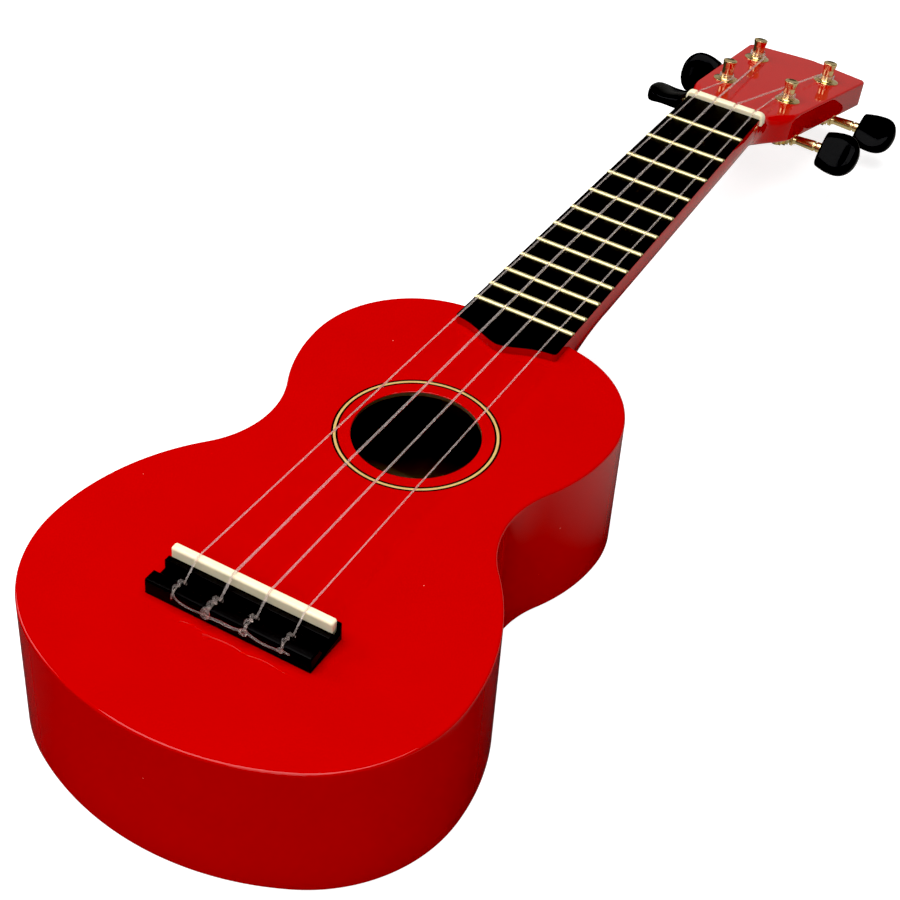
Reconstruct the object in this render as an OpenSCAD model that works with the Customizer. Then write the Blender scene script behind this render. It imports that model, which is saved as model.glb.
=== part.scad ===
// Soprano ukulele: figure-eight hollow body, one-piece neck with a tilted headstock,
// and four open-geared tuning machines.
// Frame: +Y runs from the body towards the headstock, +Z comes out of the soundboard and
// +X is the side of the highest string. The origin is on the back's outer face, on the
// centreline, straight below the line that the string length is measured from.

/* [Body] */
// Overall depth of the body, soundboard and back included
body_depth = 54; // [48:1:62]
// Half width of the lower bout
lower_half = 76.5; // [74:0.5:80]
// Distance of the lower bout's widest line from the origin
lower_y = 1.5; // [-2:0.5:4]
// Half width of the waist
waist_half = 47.6; // [44:0.2:50]
// Distance of the waist from the origin
waist_y = 80; // [76:1:84]
// Radius of the waist's curve
waist_r = 37; // [30:1:42]
// Half width of the upper bout
upper_half = 59.4; // [56:0.2:62]
// Distance of the upper bout's widest line from the origin
upper_y = 128; // [125:1:131]
// Distance of the tail end from the origin, measured backwards
tail_len = 59; // [56:1:62]
// Radius of the tail's curve
tail_r = 100; // [90:2:120]
// Distance of the neck end of the body from the origin
head_end_y = 172; // [170:1:174]
// Radius of the curve where the neck meets the body
shoulder_r = 126; // [110:2:140]
// Thickness of the soundboard and of the back
plate_t = 2; // [1.6:0.2:2.4]
// Thickness of the bent sides
side_t = 1.8; // [1.4:0.2:2.2]
// Radius of the sound hole
hole_r = 22.3; // [20:0.1:24]
// Distance of the sound hole's centre from the origin
hole_y = 98.3; // [96:0.1:100]
// Outer radius of the rosette
rosette_r = 28.9; // [27:0.1:31]

/* [Neck] */
// Vibrating string length
scale_len = 346; // [340:1:350]
// Number of frets
fret_count = 12; // [12:1:12]
// Width of the fretboard at the nut
nut_end_w = 33; // [32:0.2:35]
// Width of the fretboard at the last fret
body_end_w = 40.8; // [39:0.2:43]
// Thickness of the fretboard
board_t = 3.2; // [2.6:0.2:4]
// Depth of the neck behind the nut
neck_depth = 15.5; // [14:0.5:17]
// Height of the heel below the soundboard's face
heel_h = 45; // [38:1:48]

/* [Headstock] */
// Backward tilt of the headstock in degrees
head_tilt = 13; // [10:0.5:15]
// Thickness of the headstock
head_t = 11.5; // [10.5:0.5:12.5]
// Length of the headstock's face
head_len = 95.6; // [92:0.2:100]
// Rise of the headstock's far edge towards its middle
head_gable = 5.4; // [3:0.2:7]
// Half width of the headstock at its far end
head_far_half = 28.5; // [27:0.5:30]
// Lean of the headstock's outline towards the treble side at its far end
head_lean = 1.6; // [0:0.2:2]
// Half width of the headstock at its shoulders
head_near_half = 23.8; // [23:0.2:25]

/* [Bridge and strings] */
// Length of the bridge along the saddle
bridge_len = 61; // [58:1:66]
// Height of the saddle's crown above the soundboard
saddle_h = 9.6; // [8.8:0.2:11]
// Height of the strings above the soundboard's plane at the nut
nut_string_h = 4.5; // [4.3:0.1:4.8]
// Spacing of the strings at the saddle
saddle_spacing = 13.3; // [12.5:0.1:14]
// Spacing of the strings at the nut
nut_spacing = 8.8; // [8:0.1:9.2]

/* [Tuning machines] */
// Distance of the near pair of posts along the headstock's face
near_post_s = 36; // [34:0.2:40]
// Distance of the far pair of posts along the headstock's face
far_post_s = 77.2; // [76:0.2:80]
// Half spacing of the near pair of posts
near_post_x = 14.6; // [13:0.2:15]
// Shift of the near pair of posts towards the bass side
near_post_shift = 0.8; // [0:0.1:1]
// Half spacing of the far pair of posts
far_post_x = 17; // [16:0.2:18]
// Teeth on the cog, which is also the gear ratio
cog_teeth = 14; // [14:1:14]
// Distance between the axes of the post and the worm
worm_offset = 6.8; // [6.8:0.1:6.8]
// Depth of the worm's axis below the headstock's face
worm_depth = 18; // [18:0.1:18.4]
// Length of a button along its shaft
button_len = 17; // [16:0.5:20]
// Greatest width of a button
button_w = 19.8; // [17:0.2:20]

/* [Hidden] */
top_z = body_depth;
face_y = scale_len + 4.4;
side_h = body_depth - 2 * plate_t;
lining_w = 5;
lining_h = 6;
block_neck = [19, 20];
block_tail = [17, 9];
brace_half = 3;
brace_edge_half = 1.5;
top_brace_h = 9;
back_brace_h = 10;
rosette_w = 2.3;
rosette_line = 0.7;
rosette_depth = 0.6;

// neck: dowels, rings of its skin, heel, fretboard end, frets and nut
dowel_r = 3;
dowel_z = [34, 45];
ring_steps = 20;
heel_start = 36;
heel_taper = 2.5;
shoulder_s = 22;
corner_r = 3;
board_end = 159;
board_tip = 152.8;
tang_t = 0.6;
tang_h = 1.6;
crown_w = 2;
crown_h = 0.8;
nut_half = nut_end_w / 2 + 1.1;
nut_t = 3.8;
nut_h = 5.2;
nut_rear_r = 1.5;
nut_front_r = 0.8;
slot_r = 0.5;
nut_end_r = 2.4;

// centres and radii of the seven tangent arcs of one half of the outline
tail_c = [0, tail_r - tail_len];
low_in_r = (tail_r * tail_r - lower_half * lower_half - pow(lower_y - tail_c.y, 2))
    / (2 * (tail_r - lower_half));
low_in_c = [lower_half - low_in_r, lower_y];
low_out_r = (pow(lower_half - waist_half, 2) + pow(lower_y - waist_y, 2))
    / (2 * (lower_half - waist_half)) - waist_r;
low_out_c = [lower_half - low_out_r, lower_y];
waist_c = [waist_half + waist_r, waist_y];
up_in_r = (pow(upper_half - waist_half, 2) + pow(upper_y - waist_y, 2))
    / (2 * (upper_half - waist_half)) - waist_r;
up_in_c = [upper_half - up_in_r, upper_y];
shoulder_c = [0, head_end_y - shoulder_r];
up_out_r = (shoulder_r * shoulder_r - upper_half * upper_half - pow(upper_y - shoulder_c.y, 2))
    / (2 * (shoulder_r - upper_half));
up_out_c = [upper_half - up_out_r, upper_y];

function bearing(from, to) = atan2(to.y - from.y, to.x - from.x);
tail_a = bearing(tail_c, low_in_c);
low_a = bearing(low_out_c, waist_c);
up_a = bearing(up_in_c, waist_c);
shoulder_a = bearing(shoulder_c, up_out_c);

// points of an arc without its first one, so that arcs chain without doubles
function arc(c, r, a0, a1, n) =
    [for (i = [1:n]) c + r * [cos(a0 + (a1 - a0) * i / n), sin(a0 + (a1 - a0) * i / n)]];

// right half of the body outline, moved inwards by t, from the tail to the neck
function half_outline(t) = concat(
    arc(tail_c, tail_r - t, -90, tail_a, 6),
    arc(low_in_c, low_in_r - t, tail_a, 0, 14),
    arc(low_out_c, low_out_r - t, 0, low_a, 9),
    arc(waist_c, waist_r + t, 180 + low_a, 180 + up_a, 12),
    arc(up_in_c, up_in_r - t, up_a, 0, 7),
    arc(up_out_c, up_out_r - t, 0, shoulder_a, 12),
    arc(shoulder_c, shoulder_r - t, shoulder_a, 90, 4));

function mirrored(pts) = [for (i = [len(pts) - 1:-1:0]) if (pts[i].x > 0.01) [-pts[i].x, pts[i].y]];
function full_outline(t) = concat(
    [[0, -tail_len + t]], half_outline(t), mirrored(half_outline(t)));

module body_shape(t) polygon(full_outline(t));

// distance of a fret from the origin, and half the fretboard's width there
function fret_y(n) = scale_len * pow(2, -n / 12);
board_slope = (body_end_w - nut_end_w) / 2 / (scale_len - fret_y(12));
function board_half(y) = nut_end_w / 2 + board_slope * (scale_len - y);

// a point given in the headstock's own frame: across, along its face, out of its face
function on_head(p) = [
    p.x,
    face_y + p.y * cos(head_tilt) + p.z * sin(head_tilt),
    top_z - p.y * sin(head_tilt) + p.z * cos(head_tilt)];
module head_frame() translate([0, face_y, top_z]) rotate([-head_tilt, 0, 0]) children();

// strings from the bass side to the treble side: radius of each, side and place of its post
string_r = [0.33, 0.45, 0.39, 0.31];
post_side = [-1, -1, 1, 1];
post_s = [near_post_s, far_post_s, far_post_s, near_post_s];
post_x = [near_post_x + near_post_shift, far_post_x, far_post_x, near_post_x - near_post_shift];
// how far each button is turned from lying flat in the headstock's plane
button_turn = [-3, 72, 35, 48];

// tuning machine frame: origin on the face at the post, +X outwards along the worm
module tuner_frame(i) head_frame()
    translate([post_side[i] * post_x[i], post_s[i], 0])
        mirror([post_side[i] < 0 ? 1 : 0, 0, 0]) children();
module worm_frame(i) tuner_frame(i)
    translate([0, worm_offset, -worm_depth]) rotate([0, 90, 0]) children();

// tuning machine: post, bushing, plate, cog, worm and button
post_r = 3;
cap_r = 3;
cap_n = 8.8;
cone_n = 5.6;
post_hole_n = 4.2;
post_hole_r = 0.6;
post_gap = 0.05;
flange_r = 5.5;
sleeve_r = 4;
wind_core_r = 2.5;
wind_low = 1.4;
wind_high = 3.6;
machine_plate_t = 1;
cog_t = 2;
cog_pitch_r = 4.8;
worm_pitch_r = worm_offset - cog_pitch_r;
lead = 2 * PI * cog_pitch_r / cog_teeth;
tooth_half = 0.36;
flank = tan(15);
addendum = 0.62;
dedendum = 0.78;
worm_half_len = 3.5;
ear_in = 4.6;
ear_t = 1;
screw_s = [-9, 14.5];
screw_r = 1.1;
cog_peg_r = 1.6;
cog_top = -worm_depth + cog_t / 2;
plate_half = 5.6;
plate_low = -12.2;
plate_high = 17.7;
ear_half = 3.1;
collar_gap = 0.1;
collar_r = 2.4;
collar_len = ear_in - collar_gap - worm_half_len;
journal_in_r = 1.2;
journal_out_r = 2;
barrel_end = 15.6;
barrel_groove = 0.7;
barrel_in_r = 1.9;
barrel_out_r = 2.35;
button_start = 18.6;
inner_half = 8;
stub_r = 1.6;
stub_len = 6;

// bridge section, rear to front and heights above the soundboard
tie_block = [-12.3, -7.5, 5.9];
channel = [-4.7, -2.1, 2.3];
ridge_h = 5.8;
bridge_front = 4.9;
bridge_h = 7.2;
saddle_y = 1.9;
saddle_t = 3;
saddle_seat = 3;
saddle_front_r = 0.6;
saddle_rear_r = 1;
tie_hole_z = 3.2;

// skin of rings with the same number of points each, closed at both ends
module skin(rings) {
    m = len(rings[0]);
    n = len(rings);
    walls = [for (k = [0:n - 2]) for (j = [0:m - 1])
        [k * m + j, (k + 1) * m + j, (k + 1) * m + (j + 1) % m, k * m + (j + 1) % m]];
    ends = [[for (j = [0:m - 1]) j], [for (j = [m - 1:-1:0]) (n - 1) * m + j]];
    polyhedron([for (r = rings) for (p = r) p], concat(walls, ends), convexity = 6);
}

// tube of radius r along a route, its rings turned by the rule that their sides stay level
function unit(v) = v / norm(v);
function route_dir(p, i) = unit(p[min(i + 1, len(p) - 1)] - p[max(i - 1, 0)]);
function ring_at(p, i, r, sides) =
    let (d = route_dir(p, i), u = unit(cross(d, [1, 0, 0])), v = cross(d, u))
    [for (j = [0:sides - 1]) p[i] + r * (cos(-360 * j / sides) * u + sin(-360 * j / sides) * v)];
module tube(p, r, sides) skin([for (i = [0:len(p) - 1]) ring_at(p, i, r, sides)]);

// ---- body ----

module soundboard() color([0.8, 0, 0]) difference() {
    translate([0, 0, top_z - plate_t]) linear_extrude(plate_t) body_shape(0);
    translate([0, hole_y, top_z - plate_t - 1]) cylinder(r = hole_r, h = plate_t + 2, $fn = 96);
    translate([0, hole_y, top_z - rosette_depth]) difference() {
        cylinder(r = rosette_r, h = 1, $fn = 96);
        translate([0, 0, -1]) cylinder(r = rosette_r - rosette_w, h = 3, $fn = 96);
    }
}

module ring(outer, inner, h) difference() {
    cylinder(r = outer, h = h, $fn = 96);
    translate([0, 0, -1]) cylinder(r = inner, h = h + 2, $fn = 96);
}

module rosette_gold() color([0.8, 0.68, 0.36]) translate([0, hole_y, top_z - rosette_depth])
    ring(rosette_r - rosette_line, rosette_r - rosette_w + rosette_line, rosette_depth);

module rosette_black() color([0.05, 0.05, 0.05]) translate([0, hole_y, top_z - rosette_depth]) {
    ring(rosette_r, rosette_r - rosette_line, rosette_depth);
    ring(rosette_r - rosette_w + rosette_line, rosette_r - rosette_w, rosette_depth);
}

module back_plate() color([0.7, 0, 0]) linear_extrude(plate_t) body_shape(0);

// one bent side: s is -1 for the bass side and 1 for the treble side
module bent_side(s) translate([0, 0, plate_t]) linear_extrude(side_h) intersection() {
    difference() {
        body_shape(0);
        body_shape(side_t);
    }
    translate([s > 0 ? 0 : -100, -100]) square([100, 300]);
}
module drilled_side(s) difference() {
    bent_side(s);
    for (z = dowel_z) dowel_at(z);
}
module bass_side() color([0.6, 0, 0.01]) drilled_side(-1);
module treble_side() color([0.6, 0, 0.01]) drilled_side(1);

module lining(z) color([0.8, 0.66, 0.45]) translate([0, 0, z]) linear_extrude(lining_h)
    difference() {
        body_shape(side_t);
        body_shape(side_t + lining_w);
        translate([-block_neck.x, head_end_y - 40]) square([2 * block_neck.x, 50]);
        translate([-block_tail.x, -tail_len - 10]) square([2 * block_tail.x, 40]);
    }
module top_linings() lining(top_z - plate_t - lining_h);
module back_linings() lining(plate_t);

module neck_block() color([0.75, 0.6, 0.4]) difference() {
    translate([0, 0, plate_t]) linear_extrude(side_h) intersection() {
        body_shape(side_t);
        translate([-block_neck.x, head_end_y - side_t - block_neck.y])
            square([2 * block_neck.x, block_neck.y + 10]);
    }
    for (z = dowel_z) dowel_at(z);
}

module tail_block() color([0.75, 0.6, 0.4]) translate([0, 0, plate_t]) linear_extrude(side_h)
    intersection() {
        body_shape(side_t);
        translate([-block_tail.x, -tail_len]) square([2 * block_tail.x, block_tail.y + side_t]);
    }

// bar across the inside at y, on the face at z, with the free edge narrower than the glued one
module cross_brace(y, z, h, up) translate([0, 0, z]) mirror([0, 0, up ? 0 : 1])
    intersection() {
        rotate([90, 0, 90]) translate([0, 0, -90]) linear_extrude(180)
            polygon([[y - brace_half, 0], [y + brace_half, 0],
                [y + brace_edge_half, h], [y - brace_edge_half, h]]);
        linear_extrude(h) body_shape(side_t + lining_w + 0.2);
    }
module upper_brace() color([0.85, 0.72, 0.5]) cross_brace(136, top_z - plate_t, top_brace_h, false);
module lower_brace() color([0.85, 0.72, 0.5]) cross_brace(63, top_z - plate_t, top_brace_h, false);
module upper_back_brace() color([0.85, 0.72, 0.5]) cross_brace(118, plate_t, back_brace_h, true);
module lower_back_brace() color([0.85, 0.72, 0.5]) cross_brace(14, plate_t, back_brace_h, true);

module bridge_plate() color([0.85, 0.72, 0.5])
    translate([-36, -19, top_z - plate_t - plate_t]) cube([72, 31, plate_t]);

// ---- neck ----

module dowel_at(z) translate([0, head_end_y - 17, z]) rotate([-90, 0, 0])
    cylinder(r = dowel_r, h = 21, $fn = 48);
module neck_dowels() color([0.85, 0.72, 0.5]) for (z = dowel_z) dowel_at(z);

// the neck's section: half width w, depth d, and how square its shoulders are
function neck_ring(y, w, d, p, lid) = [for (j = [0:ring_steps])
    let (a = 180 * j / ring_steps, c = cos(a), s = sin(a))
    [w * sign(c) * pow(abs(c), p), y, lid - d * pow(abs(s), 0.85)]];

// depth along the neck: a slow taper, then the heel's concave sweep down to the body
function sweep(t) = 1 - sqrt(max(0, 1 - t * t));
function neck_d(y) = let (t = max(0, 1 - (y - head_end_y) / heel_start))
    neck_depth + heel_taper * (scale_len - y) / (scale_len - head_end_y)
        + (heel_h - neck_depth - heel_taper) * sweep(min(1, t));
function neck_p(y) = let (t = max(0, 1 - (y - head_end_y) / heel_start)) 0.8 + 0.45 * t;
shaft_rings = concat(
    [neck_ring(head_end_y - 4, board_half(head_end_y - 4), heel_h, 1.25, top_z)],
    [for (k = [0:9]) let (y = head_end_y + heel_start * pow(k / 9, 1.6))
        neck_ring(y, board_half(y), neck_d(y), neck_p(y), top_z)],
    [for (k = [1:4]) let (y = head_end_y + heel_start + (scale_len - head_end_y - heel_start) * k / 4)
        neck_ring(y, board_half(y), neck_d(y), 0.8, top_z)],
    [neck_ring(face_y, board_half(scale_len), neck_depth, 0.8, top_z)],
    [for (k = [1:4]) let (y = face_y + 5.5 * k, drop = 5.5 * k * tan(head_tilt) + 3)
        neck_ring(y, board_half(scale_len) - k, neck_depth - drop - 0.35 * k * k, 0.8, top_z - drop)]);

// headstock plan in its own frame: narrow behind the nut, flared shoulders, straight sides
head_half = concat(
    [[nut_end_w / 2 + 0.4, -2]],
    [for (t = [0:0.125:1])
        let (e = t * t * (3 - 2 * t))
        [nut_end_w / 2 + 0.4 + (head_near_half - nut_end_w / 2 - 0.4) * e, 2 + (shoulder_s - 2) * t]],
    arc([head_far_half - corner_r, head_len - corner_r], corner_r, 2, 78, 5),
    [for (x = [12:-4:0]) [x, head_len + head_gable * (1 - (x + 2 * exp(-x / 3)) / head_far_half)]]);
function leaned(pts) = [for (p = pts) [p.x + head_lean * max(0, p.y) / head_len, p.y]];
module headstock_blank() head_frame() translate([0, 0, -head_t]) linear_extrude(head_t)
    polygon(leaned(concat(head_half, mirrored(head_half))));

module neck() color([0.75, 0.02, 0.02]) difference() {
    union() {
        skin(shaft_rings);
        headstock_blank();
    }
    // the heel's end is hollowed to sit on the body's curve
    translate([0, shoulder_c.y, -1]) cylinder(r = shoulder_r, h = top_z + 2, $fn = 360);
    // flat seat for the nut and clearance above the headstock's face
    head_frame() translate([-40, -0.2, 0]) cube([80, 30, 30]);
    translate([-40, scale_len - 20, top_z]) cube([80, face_y - scale_len + 20, 20]);
    for (z = dowel_z) dowel_at(z);
    for (i = [0:3]) tuner_frame(i) {
        translate([0, 0, -head_t - 1]) cylinder(r = sleeve_r, h = head_t + 2, $fn = 48);
        for (s = screw_s) translate([0, s, -head_t - 1]) cylinder(r = screw_r, h = 7.5, $fn = 24);
    }
}

// fretboard end: two hollow curves that meet in a rounded point over the soundboard
function bracket(u) = board_end - (board_end - board_tip) * (0.5 + 0.5 * cos(180 * pow(u, 0.8)));
module fretboard() color([0.03, 0.03, 0.03]) difference() {
    translate([0, 0, top_z]) linear_extrude(board_t) polygon(concat(
        [[nut_end_w / 2, scale_len], [-nut_end_w / 2, scale_len]],
        [for (k = [0:16]) let (u = (k - 8) / 8)
            [board_half(board_end) * u, bracket(abs(u))]]));
    for (n = [1:fret_count]) translate([-30, fret_y(n) - tang_t / 2, top_z + board_t - tang_h])
        cube([60, tang_t, tang_h + 1]);
}

// one fret: a rounded crown on a tang that fills its slot
module fret(n) {
    w = board_half(fret_y(n));
    translate([-w, fret_y(n), top_z + board_t]) rotate([90, 0, 90]) linear_extrude(2 * w) {
        polygon([for (k = [0:8]) [crown_w / 2 * cos(22.5 * k), crown_h * sin(22.5 * k)]]);
        translate([-tang_t / 2, -tang_h]) square([tang_t, tang_h + 0.1]);
    }
}
module frets() color([0.86, 0.78, 0.5]) for (n = [1:fret_count]) fret(n);

function nut_x(i) = (i - 1.5) * nut_spacing;
function saddle_x(i) = (i - 1.5) * saddle_spacing;
nut_z = top_z + nut_string_h;
saddle_z = top_z + saddle_h;
module nut() color([0.93, 0.89, 0.72]) difference() {
    translate([-nut_half, scale_len, top_z]) rotate([90, 0, 90]) linear_extrude(2 * nut_half)
        polygon(concat([[0, 0], [nut_t, 0]],
            [for (k = [0:6]) let (a = 15 * k)
                [nut_t - nut_rear_r * (1 - cos(a)), nut_h - nut_rear_r * (1 - sin(a))]],
            [for (k = [0:3]) let (a = 90 + 30 * k)
                [nut_front_r * (1 + cos(a)), nut_h - nut_front_r * (1 - sin(a))]]));
    // upper corners at both ends broken by a round
    for (x = [-1, 1]) translate([x * (nut_half - nut_end_r), scale_len - 1, top_z + nut_h - nut_end_r])
        rotate([-90, 0, 0]) difference() {
            translate([x > 0 ? 0 : -5, -5, 0]) cube([5, 5, nut_t + 2]);
            translate([0, 0, -1]) cylinder(r = nut_end_r, h = nut_t + 4, $fn = 48);
        }
    for (i = [0:3]) {
        translate([nut_x(i), scale_len - 1, nut_z]) rotate([-90, 0, 0])
            cylinder(r = slot_r, h = 7, $fn = 24);
        translate([nut_x(i) - slot_r, scale_len - 1, nut_z]) cube([2 * slot_r, 7, 3]);
    }
}

// ---- bridge ----

module bridge() color([0.03, 0.03, 0.03]) difference() {
    translate([-bridge_len / 2, 0, top_z]) rotate([90, 0, 90]) linear_extrude(bridge_len)
        polygon([
            [tie_block[0], 0], [bridge_front, 0], [bridge_front, bridge_h - 0.5],
            [bridge_front - 0.5, bridge_h], [saddle_y + saddle_t / 2, bridge_h],
            [saddle_y + saddle_t / 2, saddle_seat], [saddle_y - saddle_t / 2, saddle_seat],
            [saddle_y - saddle_t / 2, ridge_h], [channel[1], ridge_h], [channel[1], channel[2]],
            [channel[0], channel[2]], [tie_block[1], tie_block[2]],
            [tie_block[0] + 0.8, tie_block[2]], [tie_block[0], tie_block[2] - 0.8]]);
    for (i = [0:3]) translate([saddle_x(i), tie_block[0] - 1, top_z + tie_hole_z])
        rotate([-90, 0, 0]) cylinder(r = 0.9, h = 8, $fn = 24);
}

module saddle() color([0.93, 0.89, 0.72])
    translate([-bridge_len / 2 + 0.7, saddle_y, top_z]) rotate([90, 0, 90])
        linear_extrude(bridge_len - 1.4) polygon(concat(
            [[-saddle_t / 2, saddle_seat], [saddle_t / 2, saddle_seat]],
            [for (k = [0:4]) let (a = 22.5 * k)
                [saddle_t / 2 - saddle_front_r * (1 - cos(a)), saddle_h - saddle_front_r * (1 - sin(a))]],
            [for (k = [4:8]) let (a = 22.5 * k)
                [-saddle_t / 2 + saddle_rear_r * (1 + cos(a)), saddle_h - saddle_rear_r * (1 - sin(a))]]));

// ---- strings ----

// where a string reaches the outside of its winding: on the side towards the centreline
function leave_r(i) = wind_core_r + 3 * string_r[i] + post_gap;
function leave_point(i) = on_head([
    post_side[i] * (post_x[i] - leave_r(i)), post_s[i], wind_low + string_r[i]]);

// the string's bend over the saddle's rear edge, at an angle round that edge
function over_saddle(x, r, a) = [x,
    saddle_y - saddle_t / 2 + saddle_rear_r + (saddle_rear_r + r + 0.02) * cos(a),
    saddle_z - saddle_rear_r + (saddle_rear_r + r + 0.02) * sin(a)];

// route from the winding over the nut and the saddle, through the tie block,
// back over its top and down in front of it
function string_route(i) = let (x = saddle_x(i), r = string_r[i])
    [leave_point(i),
    [nut_x(i), scale_len + nut_t + 0.2, nut_z - 0.05],
    [nut_x(i), scale_len + 2.2, nut_z],
    [nut_x(i), scale_len, nut_z],
    [x, saddle_y + 1, saddle_z + r],
    over_saddle(x, r, 90), over_saddle(x, r, 110), over_saddle(x, r, 128),
    [x, channel[1] - 1.2, top_z + ridge_h + 0.7],
    [x, tie_block[1] + 1.9, top_z + tie_hole_z],
    [x, tie_block[1] - 1, top_z + tie_hole_z],
    [x, tie_block[0] - 0.4, top_z + tie_hole_z],
    [x, tie_block[0] - 1.1, top_z + tie_hole_z + 0.9],
    [x, tie_block[0] - 1.0, top_z + tie_block[2] - 0.2],
    [x, tie_block[0] + 0.4, top_z + tie_block[2] + r + 0.35],
    [x, tie_block[1] - 0.6, top_z + tie_block[2] + r + 0.2]];
module one_string(i) color([0.9, 0.85, 0.82]) tube(string_route(i), string_r[i], 8);
module string_1() one_string(0);
module string_2() one_string(1);
module string_3() one_string(2);
module string_4() one_string(3);

// ---- tuning machines ----

gold = [0.85, 0.68, 0.35];

// flanged bushing pressed into the headstock round the post
module bushing(i) color(gold) tuner_frame(i) rotate_extrude($fn = 64) polygon([
    [post_r + post_gap, -5], [sleeve_r, -5], [sleeve_r, 0], [flange_r, 0], [flange_r, 0.35],
    [flange_r - 0.9, 0.6], [post_r + 0.7, 0.75], [post_r + 0.5, 1], [post_r + post_gap, 1]]);
module bushing_1() bushing(0);
module bushing_2() bushing(1);
module bushing_3() bushing(2);
module bushing_4() bushing(3);

// plate behind the headstock with two folded ears that carry the worm shaft
module plate_blank() {
    for (s = [plate_low + 3, plate_high - 3]) translate([0, s]) circle(r = 3, $fn = 48);
    translate([-3, plate_low + 3]) square([6, plate_high - plate_low - 6]);
    translate([-plate_half, -5.6]) square([2 * plate_half, 16.2]);
}
module tuner_plate(i) color(gold) {
    tuner_frame(i) difference() {
        translate([0, 0, -head_t - machine_plate_t]) linear_extrude(machine_plate_t) plate_blank();
        translate([0, 0, -head_t - 2]) cylinder(r = post_r + post_gap, h = 4, $fn = 48);
        for (s = screw_s) translate([0, s, -head_t - 2]) cylinder(r = 1.2, h = 4, $fn = 24);
    }
    for (s = [-1, 1]) worm_ear(i, s);
}
module worm_ear(i, s) {
    hole = s > 0 ? journal_out_r : journal_in_r;
    at = s > 0 ? ear_in : -ear_in - ear_t;
    difference() {
        worm_frame(i) translate([0, 0, at]) linear_extrude(ear_t) union() {
            circle(r = ear_half, $fn = 48);
            translate([-worm_depth + head_t + machine_plate_t, -ear_half])
                square([worm_depth - head_t - machine_plate_t, 2 * ear_half]);
        }
        worm_frame(i) translate([0, 0, at - 1]) cylinder(r = hole + post_gap, h = 3, $fn = 48);
    }
}
module tuner_plate_1() tuner_plate(0);
module tuner_plate_2() tuner_plate(1);
module tuner_plate_3() tuner_plate(2);
module tuner_plate_4() tuner_plate(3);

// domed wood screws that hold the four plates, each with a driver slot
module wood_screw() difference() {
    rotate_extrude($fn = 32) polygon([
        [0, 5.5], [0.3, 5.5], [1.1, 4.4], [1.1, -1], [2.2, -1], [2.2, -1.3], [1.5, -2], [0, -2.2]]);
    translate([-3, -0.25, -3]) cube([6, 0.5, 1.3]);
}
module tuner_screws() color(gold) for (i = [0:3]) for (s = screw_s)
    tuner_frame(i) translate([0, s, -head_t]) wood_screw();

// post: plain shaft in the headstock, a core for the string and a dished cap
module post(i) color(gold) tuner_frame(i) difference() {
    union() {
        rotate_extrude($fn = 48) polygon([
            [0, cog_top - cog_t], [cog_peg_r, cog_top - cog_t], [cog_peg_r, cog_top],
            [post_r, cog_top], [post_r, 1.2], [wind_core_r, 1.2], [wind_core_r, cone_n],
            [cap_r, cap_n - 0.6], [cap_r, cap_n - 0.15], [cap_r - 0.3, cap_n],
            [cap_r - 1.4, cap_n - 0.4], [0, cap_n - 0.5]]);
    }
    translate([0, 0, post_hole_n]) rotate([90, 0, 0])
        cylinder(r = post_hole_r, h = 10, center = true, $fn = 24);
    translate([0, 0, cog_top - cog_t - 1]) cylinder(r = 0.9, h = 5, $fn = 24);
}
module post_1() post(0);
module post_2() post(1);
module post_3() post(2);
module post_4() post(3);

// string wound on the post, as one collar with a ridge for each turn
module winding(i) color([0.9, 0.85, 0.75]) tuner_frame(i) {
    d = 2 * string_r[i];
    turns = floor((wind_high - wind_low) / d);
    rotate_extrude($fn = 48) polygon(concat(
        [[wind_core_r, wind_low + turns * d], [wind_core_r, wind_low]],
        [for (k = [0:turns - 1]) for (a = [-60:60:60])
            [wind_core_r + string_r[i] * (1 + cos(a)), wind_low + d * (k + 0.5) + d / 2 * sin(a)]]));
}
module winding_1() winding(0);
module winding_2() winding(1);
module winding_3() winding(2);
module winding_4() winding(3);

// cog outline: each tooth from its root, over its tip and down again
function cog_point(a, r, half) = let (t = a + half / r * 180 / PI) [r * cos(t), r * sin(t)];
function tooth(a) = [
    cog_point(a, cog_pitch_r - dedendum, -tooth_half - dedendum * flank),
    cog_point(a, cog_pitch_r, -tooth_half), cog_point(a, cog_pitch_r + addendum, -0.17),
    cog_point(a, cog_pitch_r + addendum, 0.17), cog_point(a, cog_pitch_r, tooth_half),
    cog_point(a, cog_pitch_r - dedendum, tooth_half + dedendum * flank)];
module cog(i) color(gold) tuner_frame(i) translate([0, 0, cog_top - cog_t]) difference() {
    // a tooth space faces the worm when the thread's crest lies in the middle
    linear_extrude(cog_t) polygon([for (k = [0:cog_teeth - 1])
        for (p = tooth(90 + 360 / cog_teeth * (k + 0.5))) p]);
    translate([0, 0, -1]) cylinder(r = cog_peg_r, h = cog_t + 2, $fn = 48);
}
module cog_1() cog(0);
module cog_2() cog(1);
module cog_3() cog(2);
module cog_4() cog(3);

module cog_screw(i) color(gold) tuner_frame(i) translate([0, 0, cog_top - cog_t]) difference() {
    rotate_extrude($fn = 32) polygon([
        [0, 3.6], [0.9, 3.6], [0.9, 0], [2.6, 0], [2.6, -0.7], [2.2, -1.1], [0, -1.2]]);
    translate([-3, -0.3, -2]) cube([6, 0.6, 1.3]);
}
module cog_screw_1() cog_screw(0);
module cog_screw_2() cog_screw(1);
module cog_screw_3() cog_screw(2);
module cog_screw_4() cog_screw(3);

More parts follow.
